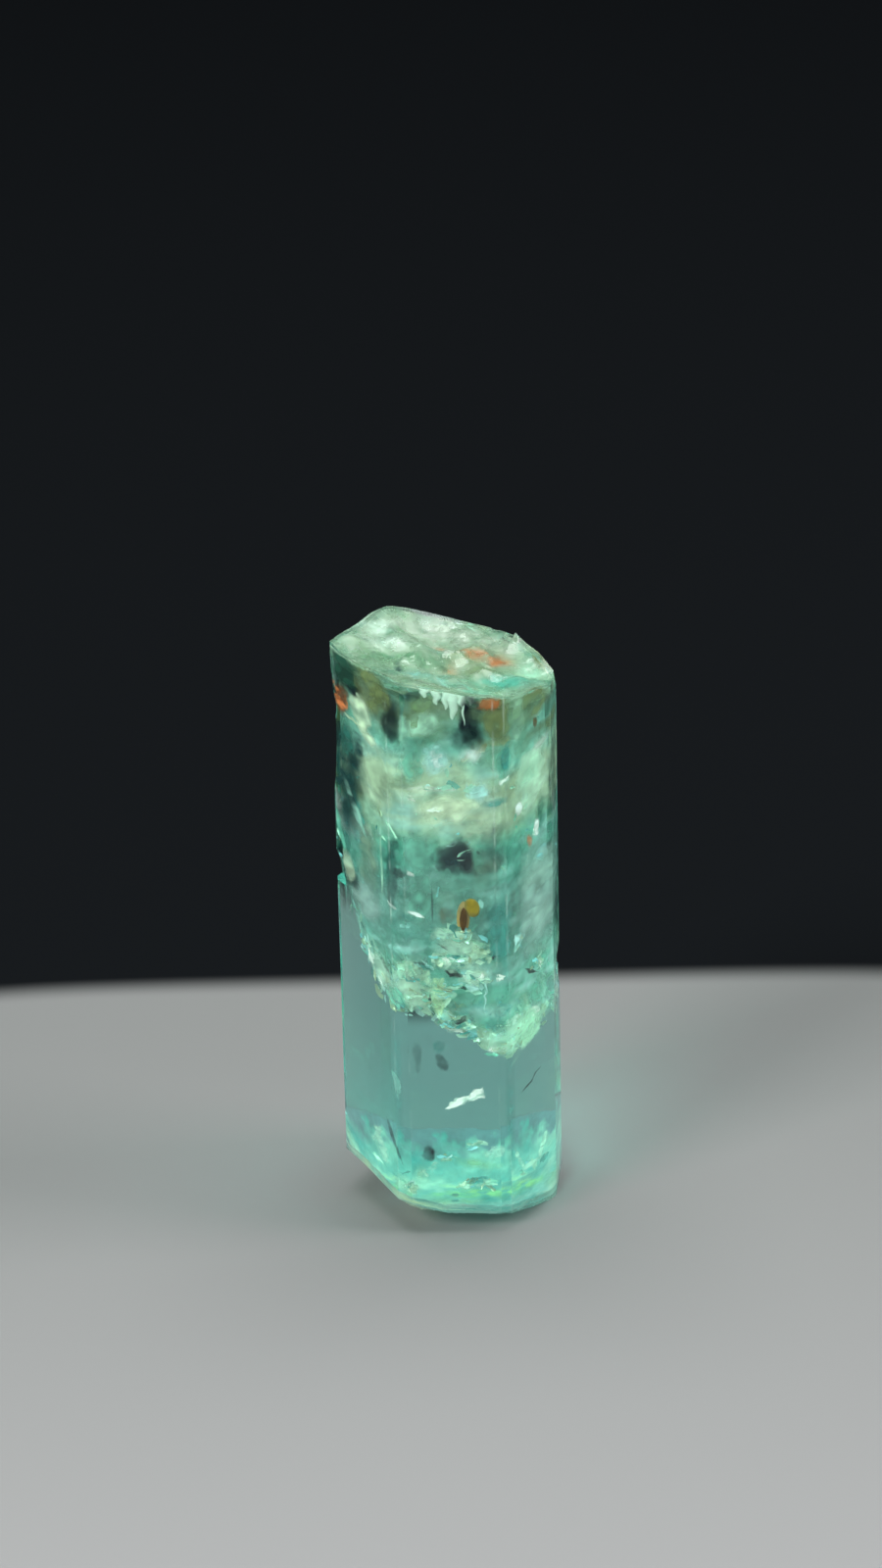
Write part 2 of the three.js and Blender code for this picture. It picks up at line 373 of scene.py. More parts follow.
def clear_beryl():
    """Glossy clear beryl: bent light, a green that deepens with depth and faint growth lines.
    Light from the lamps passes straight through it."""
    finish = Finish("clear_beryl")
    place = finish.node("TexCoord", "Object")
    lines = finish.node("Mapping", "Vector", Vector=place, Scale=GROWTH_LINES)
    striae = finish.node("TexNoise", "Fac", Vector=lines, Scale=1.0, Detail=3.0)
    waves = finish.node("TexNoise", "Fac", Vector=place, Scale=SWELLS, Detail=2.0)
    scuff = finish.node("TexNoise", "Fac", Vector=place, Scale=SCUFFS, Detail=5.0)
    broken = finish.node("Attribute", "Fac", {"attribute_name": "broken"})
    relief = striae + waves * 2.0 + broken * scuff * 8.0
    normal = finish.node("Bump", "Normal", Strength=0.18, Distance=0.00003, Height=relief)
    body = finish.node(
        "BsdfPrincipled",
        "BSDF",
        Base_Color=BERYL_TINT,
        Roughness=scuff.between(0.5, 0.8) * 0.1 + 0.02 + broken * scuff * 0.45,
        IOR=BERYL_IOR,
        Transmission_Weight=1.0,
        Normal=normal,
    )
    lamp_ray = finish.node("LightPath", "Is Shadow Ray")
    open_way = finish.node("BsdfTransparent", "BSDF", Color=LAMP_TINT)
    surface = finish.node("MixShader", "Shader", _0=lamp_ray, _1=body, _2=open_way)
    green = finish.node("VolumeAbsorption", "Volume", Color=DEPTH_TINT, Density=DEPTH_DENSITY)
    return finish.shows(surface, green)


skin = crystal_skin(clear_beryl())
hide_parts("emerald_crystal")
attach(skin, "root")

# --------------------------------------
# Frost on the broken ends: just under both breaks the beryl is crazed with fine cracks, so
# it looks white to mint there, stained in places. Made as sheets close under the skin.
# --------------------------------------
MILK, ICE, MINT = (0.46, 0.68, 0.52), (0.29, 0.66, 0.68), (0.18, 0.5, 0.38)
DEEP, OLIVE, WHITE = (0.012, 0.038, 0.04), (0.17, 0.19, 0.08), (0.85, 0.85, 0.78)
POWDER, RUST, PEARL = (0.72, 0.58, 0.52), (0.55, 0.16, 0.06), (0.52, 0.5, 0.43)
LICHEN, PAINTED_SEE_THROUGH_GREY = (0.14, 0.25, 0.14), (0.15, 0.17, 0.18)
STRAW, LEAF = (0.36, 0.44, 0.29), (0.24, 0.4, 0.18)
# Of each end: its tint, and the paler and deeper tints that it is clouded with.
TOP_TINTS = (0.24, 0.3, 0.2), (0.42, 0.43, 0.34), (0.115, 0.23, 0.145)
FOOT_TINTS = (0.17, 0.3, 0.26), (0.35, 0.43, 0.34), (0.07, 0.23, 0.21)
# Patches of colour on the upper break: middle, half width and half depth, tint, strength. The white
# ones at the back left are painted highlights.
TOP_DAUBS = [
    (-3.3, 1.6, 1.4, 1.3, PEARL, 0.35), (-1.6, 3.4, 1.2, 0.7, PEARL, 0.65),
    # Painted highlights: the white patches on this line and the first on the next.
    (-3.0, 2.7, 0.6, 0.4, WHITE, 0.55), (-2.5, 1.5, 0.9, 0.35, WHITE, 0.38),
    (-1.0, 2.0, 0.6, 0.3, WHITE, 0.3), (0.1, 3.7, 1.5, 0.7, (0.5, 0.44, 0.4), 0.55),
    (2.4, 3.0, 1.6, 0.7, POWDER, 0.25), (-2.1, 0.2, 1.3, 0.5, LICHEN, 0.9),
    (-1.9, 3.0, 0.4, 0.3, LICHEN, 0.6), (0.4, 1.3, 0.9, 0.45, LICHEN, 0.8),
    (-3.4, -1.0, 0.9, 0.9, LICHEN, 0.5), (-1.0, -1.9, 1.4, 0.8, ICE, 0.3),
    (1.7, -0.4, 0.9, 0.5, OLIVE, 0.7), (2.8, -1.1, 1.3, 0.6, (0.08, 0.3, 0.23), 0.8),
    (1.2, -2.6, 1.3, 0.9, MINT, 0.4), (4.0, 0.7, 0.8, 1.2, MILK, 0.5),
    (1.3, 1.7, 0.8, 0.5, RUST, 0.75), (2.4, 1.35, 0.55, 0.5, RUST, 1.1),
    (1.8, 1.5, 1.2, 0.8, RUST, 0.25), (-0.2, 2.3, 0.3, 0.3, RUST, 0.35),
    (0.3, 0.0, 0.35, 0.8, RUST, 0.3), (-2.05, -0.9, 0.16, 0.5, DEEP, 1.3),
]  # fmt: skip
# The same on the lower break, which is greener: it is lit through the whole crystal. Its grey patches
# at the back and both sides are painted: they stand in for the board as it shows through the clear rim.
FOOT_DAUBS = [
    (-3.6, -0.6, 1.2, 2.0, STRAW, 0.6), (-1.8, -2.8, 0.9, 1.4, STRAW, 1.0),
    (-0.6, -1.6, 1.2, 0.5, STRAW, 0.6), (1.0, 0.2, 1.7, 0.5, LEAF, 0.9),
    (-4.0, 1.6, 0.6, 0.9, LEAF, 0.6), (4.2, 0.4, 0.5, 1.4, LEAF, 0.6),
    (-2.6, -0.6, 0.5, 1.4, (0.1, 0.24, 0.24), 0.7), (1.6, -3.4, 1.6, 0.9, (0.06, 0.22, 0.2), 0.8),
    (3.4, -2.6, 1.0, 0.7, (0.05, 0.2, 0.18), 0.8), (0.4, -2.0, 0.8, 0.4, (0.04, 0.14, 0.16), 0.6),
    # Painted view through the clear rim: the grey patches at the back and both sides.
    (0.2, 1.6, 0.8, 0.3, STRAW, 0.9), (0.0, 4.9, 5.0, 1.0, PAINTED_SEE_THROUGH_GREY, 1.4),
    (-4.6, 2.4, 0.8, 2.6, PAINTED_SEE_THROUGH_GREY, 1.4), (4.6, 2.4, 0.8, 2.6, PAINTED_SEE_THROUGH_GREY, 1.4),
]  # fmt: skip
# Each sheet of frost: how far under the break it lies, and how much it covers.
UPPER_FROST, LOWER_FROST = [(0.09, 0.6), (0.5, 0.75)], [(0.09, 1.0), (0.4, 0.85)]
FROST_REACH, FROST_ROWS = (0.04, 0.975), 70
LEAST_COVER, SKIN_CLEARANCE, FROST_GRAIN = 0.02, 0.07, 2600.0


def lattice_noise(x, y, z, seed):
    """Random numbers at whole-number points, blended smoothly between them; -1 to 1."""
    cell = [np.floor(c) for c in (x, y, z)]
    part = [c - f for c, f in zip((x, y, z), cell)]
    ease = [p * p * (3 - 2 * p) for p in part]
    total = 0.0
    for corner in np.ndindex(2, 2, 2):
        i, j, k = (f + o for f, o in zip(cell, corner))
        weight = 1.0
        for e, o in zip(ease, corner):
            weight = weight * (e if o else 1 - e)
        draw = np.sin(i * 127.1 + j * 311.7 + k * 74.7 + seed * 17.3) * 43758.5453
        total = total + weight * (draw - np.floor(draw))
    return 2 * total - 1


def cloud_noise(x, y, z, size, seed, octaves=3):
    """Lattice noises added, each half the size and 0.55 of the strength of the last."""
    total, strength, scale = 0.0, 1.0, 1 / size
    for octave in range(octaves):
        total = total + strength * lattice_noise(x * scale, y * scale, z * scale, seed + octave)
        strength, scale = strength * 0.55, scale * 2.03
    return total


def mixed(cool, warm, share):
    """Colours between cool and warm by share, which lies between 0 and 1."""
    share = np.clip(share, 0, 1)[..., None]
    return np.asarray(cool) * (1 - share) + np.asarray(warm) * share


def kept_inside(x, y, z, clear=SKIN_CLEARANCE):
    """Points moved so that none is nearer than about clear to the crystal's skin."""
    most = 1 - clear / FACES[:, 1].min()
    inward = np.minimum(1, most / np.maximum(outline_share(x, y), 1e-6))
    x, y = x * inward, y * inward
    chipped = side_share(x, y, z)
    chipped = np.where(chipped < 1, chipped * most, 1)
    x, y = x * chipped, y * chipped
    z = np.minimum(z, upper_break(x, y) - clear)
    return x, y, np.maximum(z, lower_break(x, y) + clear)


def grown_in(name, roughness, painted_glow, mirror=0.0, frosting=0.3, bump=0.0):
    """What lies inside the crystal: the mesh's own tint and cover, which frosting breaks into grains.
    Its glow is painted light: an emission in its own tint that stands in for the light that the beryl
    spreads. It throws light back by mirror as a thin gap of air does. bump is the grains' height in
    millimetres."""
    finish = Finish(name)
    tint = finish.node("Attribute", "Color", {"attribute_name": "tint"})
    cover = finish.node("Attribute", "Alpha", {"attribute_name": "tint"})
    place = finish.node("TexCoord", "Object")
    frost = finish.node("TexNoise", "Fac", Vector=place, Scale=FROST_GRAIN, Detail=1.5)
    cover = (cover * (1 - 0.5 * frosting + frosting * frost)).clamped()
    relief = {}
    if bump:
        relief["Normal"] = finish.node("Bump", "Normal", Strength=0.5, Distance=bump * MM, Height=frost)
    surface = finish.node(
        "BsdfPrincipled",
        "BSDF",
        Base_Color=tint,
        Roughness=roughness,
        Specular_IOR_Level=0.1,
        Metallic=mirror,
        Alpha=cover,
        # Painted light: the piece glows in its own tint, though it is no lamp.
        Emission_Color=tint,
        Emission_Strength=painted_glow,
        **relief,
    )
    finish.material.cycles.emission_sampling = "NONE"
    return finish.shows(surface)


def grown_piece(name, sheets, material):
    """One piece joined from sheets: each a grid of points in mm, their tints and covers, and
    whether its last column joins its first. Faces as clear as LEAST_COVER are left out."""
    points, faces, tints, start = [], [], [], 0
    for grid, tint, closed in sheets:
        rows, columns = grid.shape[:2]
        found = grid_faces(rows, columns, closed)
        seen = tint[..., 3].reshape(-1)[found].max(1) > LEAST_COVER
        points.append(grid.reshape(-1, 3))
        faces.append(found[seen] + start)
        tints.append(tint.reshape(-1, 4))
        start += rows * columns
    points, faces, tints = np.concatenate(points), np.concatenate(faces), np.concatenate(tints)
    used, faces = np.unique(faces, return_inverse=True)
    piece = new_piece(name, points[used], faces.reshape(-1, 4), material)
    layer = piece.data.attributes.new("tint", "FLOAT_COLOR", "POINT")
    layer.data.foreach_set("color", tints[used].astype(np.float32).reshape(-1))
    piece.data.shade_smooth()
    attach(piece, "root")


def with_cover(tint, cover):
    """A sheet's tints with its cover as the fourth number, between 0 and 1."""
    return np.concatenate([tint, np.clip(cover, 0, 1)[..., None]], -1)


def sheet(x, y, z, tint, cover, closed=False):
    """A sheet for grown_piece, kept inside the crystal."""
    return np.stack(kept_inside(x, y, z), -1), with_cover(tint, cover), closed


def end_frost(surface, side, depth, cover, tints, daubs, blotches, seed):
    """A sheet depth under a break: its clouded tint, then each daub laid over the last."""
    share = np.linspace(*FROST_REACH, FROST_ROWS)[:, None]
    x, y = (c * share for c in section_outline().T)
    z = surface(x, y) + side * (depth + 0.06 * (1 + cloud_noise(x, y, depth, 0.7, seed, 4)))
    blotch = cloud_noise(x, y, z, blotches, seed + 3)
    tint = mixed(tints[0], tints[1], 1.2 * blotch - 0.1)
    tint = mixed(tint, tints[2], -1.2 * blotch - 0.1)
    for dx, dy, wide, long, daub, strength in daubs:
        near = np.exp(-(((x - dx) / wide) ** 2) - ((y - dy) / long) ** 2)
        near = near * (0.75 + 0.8 * cloud_noise(x, y, z, 0.45, seed + 7))
        tint = mixed(tint, daub, 1.5 * strength * near)
    patchy = 0.9 + 0.5 * cloud_noise(x, y, z, blotches, seed + 11)
    return sheet(x, y, z, tint, cover * patchy, True)


top_frost = [
    end_frost(upper_break, -1, depth, cover, TOP_TINTS, TOP_DAUBS, 0.8, 21.0 + depth)
    for depth, cover in UPPER_FROST
]
foot_frost = [
    end_frost(lower_break, 1, depth, cover, FOOT_TINTS, FOOT_DAUBS, 1.5, 31.0 + depth)
    for depth, cover in LOWER_FROST
]
grown_piece("frost_upper_break", top_frost, grown_in("frost", 0.4, painted_glow=0.1, bump=0.03))
# Painted light: the lower frost glows strongly, standing in for the light from above that reaches it
# through the crystal.
foot_frost_painted_glow = grown_in("frost_painted_glow_from_above", 0.4, painted_glow=0.9, bump=0.03)
grown_piece("frost_lower_break", foot_frost, foot_frost_painted_glow)

# --------------------------------------
# Veils: healed fractures full of minute hollows, which grew one inside another parallel to
# the prism's faces. They stop at the open fracture that crosses the crystal lower down.
# --------------------------------------
CREAM, PALE = (0.7, 0.75, 0.55), (0.5, 0.74, 0.7)
FRACTURE_LEVEL, FRACTURE_SLOPE, STEEP_FROM, STEEPNESS, BACK_RISE = 10.8, -0.5, -3, 1.4, 0.28
FRONT_REACH = FACES[0, 1]  # from the axis to the front face
# Each veil: its share of the outline, and how much it covers.
VEILS = [(0.88, 0.45), (0.76, 0.65), (0.6, 0.8), (0.4, 0.95)]
VEIL_ROWS = 140
COARSE_COLUMNS = FACES[:, 2] / 2 + 1  # about half the skin's
# What the veils are like at each height in millimetres: how thick, and their tint.
VEIL_BANDS = [
    (9.0, 0.5, MINT), (12.5, 0.5, MINT), (14.5, 0.5, (0.13, 0.34, 0.28)),
    (17.0, 0.6, (0.25, 0.46, 0.4)), (19.3, 0.65, MINT), (21.0, 1.0, CREAM), (23.0, 1.0, CREAM),
    (24.2, 0.9, (0.32, 0.6, 0.52)), (25.3, 0.65, (0.22, 0.47, 0.36)), (26.4, 0.5, (0.42, 0.4, 0.26)),
    (28.5, 0.55, MINT),
]  # fmt: skip


def fracture_height(x, y):
    """Height of the open fracture: a slope down to the right, much steeper left of STEEP_FROM
    and rising towards the back."""
    steep = STEEPNESS * np.maximum(STEEP_FROM - x, 0) ** 1.4
    return FRACTURE_LEVEL + FRACTURE_SLOPE * x + steep + BACK_RISE * (y + FRONT_REACH)


def veil(share, cover, seed):
    """A ring of sheet at a share of the outline, wavering in and out, cloudy by height."""
    outline = section_outline(COARSE_COLUMNS)
    foot = fracture_height(*(outline * share).T) - 0.3
    top = upper_break(*(outline * share).T) - 0.2
    rise = np.linspace(0, 1, VEIL_ROWS)[:, None]
    z = foot + (top - foot) * rise
    x, y = (np.broadcast_to(c, z.shape) * share for c in outline.T)
    waver = 1 - 0.04 * (1 + cloud_noise(x, y, z * 0.6, 1.6, seed)) / share
    x, y = x * waver, y * waver
    drift = cloud_noise(x, y, z * 0.5, 1.6, seed + 5)
    wisps = cloud_noise(x * 0.5, y * 0.5, z * 2.0, 1.0, seed + 9)
    levels, thickness, tints = zip(*VEIL_BANDS)
    thick = np.interp(z, levels, thickness) + 0.9 * drift + 0.3 * wisps
    fade = 0.7 + 2.6 * np.clip(-x - 3.1, 0, 1)
    ends = np.clip((z - foot) / fade, 0, 1) * np.clip((1 - rise) * 30, 0, 1)
    wander = z + 1.2 * cloud_noise(x, y, z, 2.4, seed + 13, 2)
    tint = np.stack([np.interp(wander, levels, part) for part in zip(*tints)], -1)
    tint = mixed(tint, PALE, 0.9 * wisps + 0.5 * drift - 0.3)
    tint = mixed(tint, DEEP, -1.1 * drift - 0.5 * wisps - 0.35)
    fine = cloud_noise(x, y, z * 1.4, 0.5, seed + 17)
    tint = tint * np.clip(1 + 0.4 * fine, 0.4, 1.4)[..., None]
    cover = cover * np.clip(thick + 0.25 * fine, 0, 1.1) * ends
    return sheet(x, y, z, tint, cover, True)


veils = [veil(share, cover, 3.0 + 20 * i) for i, (share, cover) in enumerate(VEILS)]
grown_piece("veils", veils, grown_in("veil", 0.6, painted_glow=0.25))

# --------------------------------------
# Clouds and slates close behind the faces: denser puffs of the veils, and thin plates of
# dark schist and olive clay that the crystal grew round.
# --------------------------------------
FRONT = 270
# A cloud's grid: its fewest and most points across, how many more a millimetre, and its reach
# as a share of the ellipse.
CLOUD_POINTS, POINTS_A_MM, CLOUD_REACH = (16, 44), 9, 1.25
TEAL, SLATE, OCHRE = (0.065, 0.28, 0.25), (0.01, 0.016, 0.02), (0.5, 0.3, 0.015)
FOAM, BARK = (0.45, 0.75, 0.58), (0.13, 0.05, 0.002)
# Each: distance right of the axis and height, half width and half height, lean in degrees,
# depth behind the faces, tint and cover.
FRONT_CLOUDS = [
    (-4.4, 27.3, 0.7, 1.0, 0, 0.3, (0.02, 0.065, 0.045), 0.9),
    (-4.0, 26.9, 0.45, 0.7, 0, 0.35, SLATE, 0.9), (-3.2, 27.3, 0.75, 1.2, 0, 0.3, OLIVE, 0.9),
    (-3.65, 25.8, 0.5, 1.0, 10, 0.4, CREAM, 0.85), (-2.35, 26.25, 0.5, 1.15, 0, 0.2, SLATE, 1.0),
    (-2.75, 27.2, 0.5, 0.6, 0, 0.25, OLIVE, 0.9), (-1.1, 26.1, 0.9, 0.7, 0, 0.4, MILK, 0.9),
    (-1.5, 27.6, 0.5, 0.25, 0, 0.3, DEEP, 0.7),
    (-0.9, 27.2, 0.7, 0.6, 0, 0.5, (0.25, 0.36, 0.18), 0.8),
    (1.2, 26.3, 0.55, 1.5, 3, 0.3, SLATE, 1.0), (0.9, 25.5, 0.75, 0.7, 0, 0.35, DEEP, 0.9),
    (2.3, 26.3, 0.65, 1.1, 0, 0.3, OLIVE, 0.95),
    (2.0, 27.15, 0.6, 0.4, 0, 0.2, (0.4, 0.12, 0.04), 0.85),
    (2.2, 25.2, 0.65, 0.3, 0, 0.4, OCHRE, 0.4), (3.2, 25.8, 0.35, 1.3, 0, 0.4, MILK, 0.7),
    (3.9, 26.2, 0.6, 0.9, 0, 0.4, OLIVE, 0.85), (4.0, 25.2, 0.12, 0.32, 8, 0.3, BARK, 0.9),
    (3.65, 22.4, 0.75, 1.7, 0, 0.4, (0.62, 0.8, 0.62), 0.9),
    (-0.4, 24.4, 0.65, 0.7, 0, 0.4, PALE, 0.95), (2.65, 24.2, 0.2, 0.7, 0, 0.3, TEAL, 0.85),
    (2.5, 24.1, 0.35, 0.9, 0, 0.5, MINT, 0.8), (-1.5, 24.2, 0.5, 0.9, 0, 0.5, MINT, 0.7),
    (-2.9, 22.9, 0.75, 1.5, 8, 0.4, (0.4, 0.47, 0.33), 0.9),
    (1.35, 22.8, 0.5, 0.5, 0, 0.3, PALE, 0.95), (-0.2, 22.0, 1.5, 0.9, 4, 0.6, CREAM, 0.95),
    (-0.6, 23.0, 1.3, 0.14, -2, 0.4, WHITE, 0.7), (2.1, 22.2, 0.65, 0.25, 5, 0.3, TEAL, 0.6),
    # Painted glint: the first white patch on the next line.
    (3.2, 21.4, 0.22, 0.35, 0, 0.3, WHITE, 0.95), (4.0, 19.9, 0.14, 0.4, 0, 0.3, WHITE, 0.95),
    (-4.4, 24.0, 0.4, 0.9, 0, 0.2, (0.03, 0.12, 0.1), 0.9),
    (-4.55, 22.2, 0.7, 2.7, 4, 0.3, DEEP, 0.9), (-4.0, 20.4, 0.5, 1.8, 12, 0.4, TEAL, 0.8),
    (-4.1, 20.7, 0.22, 1.5, 24, 0.2, (0.3, 0.5, 0.42), 0.9),
    (4.85, 22.0, 0.35, 2.7, 0, 0.3, DEEP, 0.5), (-4.5, 17.5, 0.3, 0.9, 10, 0.3, CREAM, 0.5),
    (-2.4, 20.1, 0.32, 0.55, 0, 0.3, SLATE, 0.75), (-2.2, 18.8, 0.28, 0.28, 0, 0.3, SLATE, 0.85),
    (-2.5, 18.6, 0.25, 2.2, 0, 0.25, DEEP, 0.6), (-2.95, 18.5, 0.06, 2.2, 0, 0.2, MILK, 0.7),
    (-3.5, 18.6, 0.5, 1.8, 0, 0.4, (0.24, 0.3, 0.22), 0.7),
    (0.35, 19.7, 0.95, 0.7, 20, 0.3, (0.01, 0.04, 0.042), 0.95),
    (0.75, 19.45, 0.4, 0.95, 25, 0.35, (0.012, 0.028, 0.03), 0.95),
    (1.9, 19.7, 0.8, 1.1, 0, 0.6, DEEP, 0.6), (-1.3, 19.9, 0.75, 1.0, 0, 0.4, (0.16, 0.4, 0.31), 0.9),
    (-1.3, 17.6, 0.75, 1.3, 0, 0.4, (0.16, 0.4, 0.31), 0.9),
    (-1.7, 18.8, 0.2, 0.12, -30, 0.3, WHITE, 0.95), (-1.45, 16.7, 0.45, 0.12, -25, 0.3, WHITE, 0.95),
    (-2.5, 17.0, 0.2, 0.08, -35, 0.3, WHITE, 0.9), (3.65, 19.4, 0.14, 0.4, 5, 0.3, RUST, 0.8),
    (4.2, 18.5, 0.38, 0.42, 0, 0.3, ICE, 0.8),
    (4.0, 15.9, 1.1, 2.6, 0, 0.35, (0.32, 0.47, 0.42), 0.7),
    (2.2, 15.6, 0.5, 2.2, 0, 0.5, TEAL, 0.75), (-0.75, 17.2, 0.06, 1.1, 0, 0.3, DEEP, 0.85),
    # Painted shadow: the brown-grey patch on the next line, to the left of the amber crystal.
    (-0.1, 16.6, 0.4, 0.5, 0, 0.5, BARK, 0.45),
    (-3.6, 16.4, 0.7, 1.3, 0, 0.6, (0.27, 0.36, 0.33), 0.6),
    (-0.45, 8.9, 0.32, 0.5, 30, 0.8, DEEP, 0.85), (-0.6, 9.8, 0.32, 0.4, 0, 1.0, TEAL, 0.7),
    (-1.6, 9.2, 0.25, 0.8, 0, 1.5, DEEP, 0.4), (-1.2, 4.3, 0.38, 0.42, 0, 0.3, SLATE, 0.9),
]  # fmt: skip
# Painted light: teal strips behind the narrow faces on either side of the front, standing in for the
# light that those faces bend.
NARROW_FACE_PAINTED_LIGHT = [
    (-2.55, 7.4, 0.3, 4.6, 0, 0.12, TEAL, 0.45),
    (2.62, 6.0, 0.26, 4.4, 0, 0.12, TEAL, 0.6),
    (2.5, 15.0, 0.24, 4.0, 0, 0.12, (0.07, 0.36, 0.3), 0.6),
]
# Softer puffs, laid over the rest at all heights.
PUFFS = [
    (1.15, 24.65, 0.7, 0.45, 10, 0.25, WHITE, 0.9), (-1.85, 25.9, 0.28, 0.75, 0, 0.2, FOAM, 0.9),
    (4.25, 24.0, 0.6, 0.28, 35, 0.2, WHITE, 1.0), (-0.5, 24.4, 0.8, 0.8, 0, 0.3, PALE, 0.7),
    (1.5, 22.9, 0.5, 0.9, 0, 0.3, PALE, 0.7), (-1.4, 22.9, 0.9, 0.6, 0, 0.3, CREAM, 0.8),
    (0.0, 22.1, 1.4, 0.5, 5, 0.3, CREAM, 0.8), (3.7, 23.0, 0.6, 1.0, 0, 0.3, FOAM, 0.7),
    (-3.3, 24.8, 0.7, 0.4, -35, 0.25, CREAM, 0.7), (2.1, 20.9, 0.6, 0.5, 0, 0.3, DEEP, 0.6),
    (-4.5, 19.6, 0.45, 1.3, 5, 0.2, (0.03, 0.08, 0.08), 0.85),
    (0.2, 14.6, 1.0, 1.3, 0, 0.45, FOAM, 0.55),
    (0.3, 19.6, 0.8, 0.9, -30, 0.4, (0.012, 0.028, 0.03), 0.8),
    (4.0, 16.8, 1.2, 3.1, 0, 0.3, (0.42, 0.58, 0.51), 0.8),
    (-2.35, 26.7, 0.42, 1.3, 0, 0.3, (0.02, 0.04, 0.04), 0.9),
    (-4.4, 27.0, 0.8, 1.2, 0, 0.3, (0.02, 0.05, 0.036), 0.6),
    (0.42, 15.1, 1.2, 0.85, -20, 0.35, (0.5, 0.68, 0.56), 0.9),
    (1.2, 13.6, 0.75, 0.8, 0, 0.3, (0.54, 0.74, 0.62), 0.8),
    (-1.85, 13.1, 0.8, 1.2, 15, 0.3, (0.47, 0.63, 0.49), 0.85),
    (-0.6, 12.6, 0.45, 1.0, 0, 0.35, (0.48, 0.68, 0.44), 0.8),
    (-1.5, 12.3, 0.7, 0.5, -20, 0.25, (0.48, 0.64, 0.5), 0.7),
    (2.2, 9.95, 0.9, 0.6, -20, 0.3, FOAM, 0.8),
    (3.2, 10.2, 1.2, 1.0, 25, 0.3, (0.47, 0.74, 0.57), 0.9),
    (-4.1, 22.6, 0.55, 2.0, -4, 0.25, (0.025, 0.09, 0.08), 0.9),
    (1.0, 3.7, 1.3, 0.35, -12, 0.3, (0.3, 0.6, 0.3), 0.6),
    (-3.15, 13.4, 0.5, 1.4, 25, 0.15, (0.46, 0.63, 0.5), 0.85),
    (-1.5, 3.3, 0.5, 0.9, -10, 0.3, (0.34, 0.55, 0.36), 0.5),
    (-2.2, 2.4, 0.9, 0.6, -45, 0.3, (0.4, 0.58, 0.38), 0.55),
    (-0.9, 26.3, 1.6, 1.1, 0, 0.45, (0.26, 0.36, 0.2), 0.6),
    (-2.2, 26.9, 1.4, 1.0, 0, 0.4, (0.16, 0.22, 0.12), 0.5),
    (3.3, 26.0, 1.2, 1.4, 0, 0.25, (0.24, 0.36, 0.21), 0.6),
    (1.6, 26.4, 1.3, 1.0, 0, 0.35, (0.12, 0.18, 0.09), 0.6),
    (-3.6, 27.6, 0.9, 0.4, -10, 0.3, (0.2, 0.28, 0.18), 0.5),
    (-0.3, 17.7, 2.3, 2.0, 0, 0.5, (0.2, 0.34, 0.26), 0.4),
    (4.0, 17.9, 0.9, 1.3, 0, 0.2, (0.46, 0.62, 0.54), 0.55),
    (1.7, 18.9, 0.9, 1.0, 0, 0.3, (0.17, 0.22, 0.15), 0.65),
]  # fmt: skip


def behind_skin(across, depth, turn):
    """x and y of points depth behind the faces, across mm right of the axis, seen from direction
    turn. Each face moved in by depth is a line, and the nearest of them to the axis counts."""
    out = np.array([np.cos(turn * DEG), np.sin(turn * DEG)])
    right = np.array([-out[1], out[0]])
    normals = np.stack([np.cos(FACES[:, 0] * DEG), np.sin(FACES[:, 0] * DEG)], -1)
    towards, aside = normals @ out, normals @ right
    facing = towards > 0.05
    limit = (FACES[facing, 1] - depth[..., None]) - across[..., None] * aside[facing]
    near = np.maximum((limit / towards[facing]).min(-1), 0)
    return across * right[0] + near * out[0], across * right[1] + near * out[1]


def cloud(
    across, height, wide, high, lean, depth, tint, cover,
    seed, turn=FRONT, softness=0.4, torn=0.3, streaked=0.0,
):  # fmt: skip
    """A rippled patch behind the faces: a leaning ellipse whose radius is torn by noise,
    clearing towards its edge and, where streaked, in streaks along its lean."""
    count = int(np.clip(CLOUD_POINTS[0] + POINTS_A_MM * max(wide, high), *CLOUD_POINTS))
    span = np.linspace(-CLOUD_REACH, CLOUD_REACH, count)
    u, v = np.meshgrid(span, span)
    cos, sin = np.cos(lean * DEG), np.sin(lean * DEG)
    a = across + u * wide * cos - v * high * sin
    z = height + u * wide * sin + v * high * cos
    tear = np.clip(0.6 * max(wide, high), 0.12, 0.7)
    ragged = cloud_noise(a, depth, z * 0.8, tear, seed + 41)
    fade = (1 - np.hypot(u, v) + torn * ragged) / softness
    ripple = 0.5 * depth + 0.05 * cloud_noise(a, 5.0, z, 0.7, seed + 43, 2)
    x, y = behind_skin(a, np.maximum(ripple, 0.08), turn)
    mottle = cloud_noise(a, 9.0, z, 0.45, seed + 47)
    tint = np.asarray(tint)
    tint = mixed(tint * 0.75, np.minimum(tint * 1.25, 1), 0.5 + 0.7 * mottle)
    streak = cloud_noise(u * wide, 3.0, v * high * 4, 0.4, seed + 53)
    cover = cover * np.clip(fade, 0, 1) * (0.85 + 0.35 * mottle)
    return sheet(x, y, z, tint, cover * np.clip(1 + streaked * streak, 0, 1))


front_clouds = [cloud(*parts, seed=float(i)) for i, parts in enumerate(FRONT_CLOUDS)]
front_clouds += [cloud(*parts, seed=70.0, softness=0.9, torn=0.0) for parts in NARROW_FACE_PAINTED_LIGHT]
front_clouds += [cloud(*parts, seed=80.0 + i, softness=0.9) for i, parts in enumerate(PUFFS)]
cloud_finish = grown_in("cloud", 0.5, painted_glow=0.2)
grown_piece("clouds_front", front_clouds, cloud_finish)

# The other sides carry the same kinds, by chance: the directions that they are seen from, how
# many for each, and how near to the front they may lie.
OTHER_SIDES, CLOUDS_A_SIDE, FRONT_ZONE = (10, 50, 90, 130, 170), 26, -1.2
draw = np.random.default_rng(7)


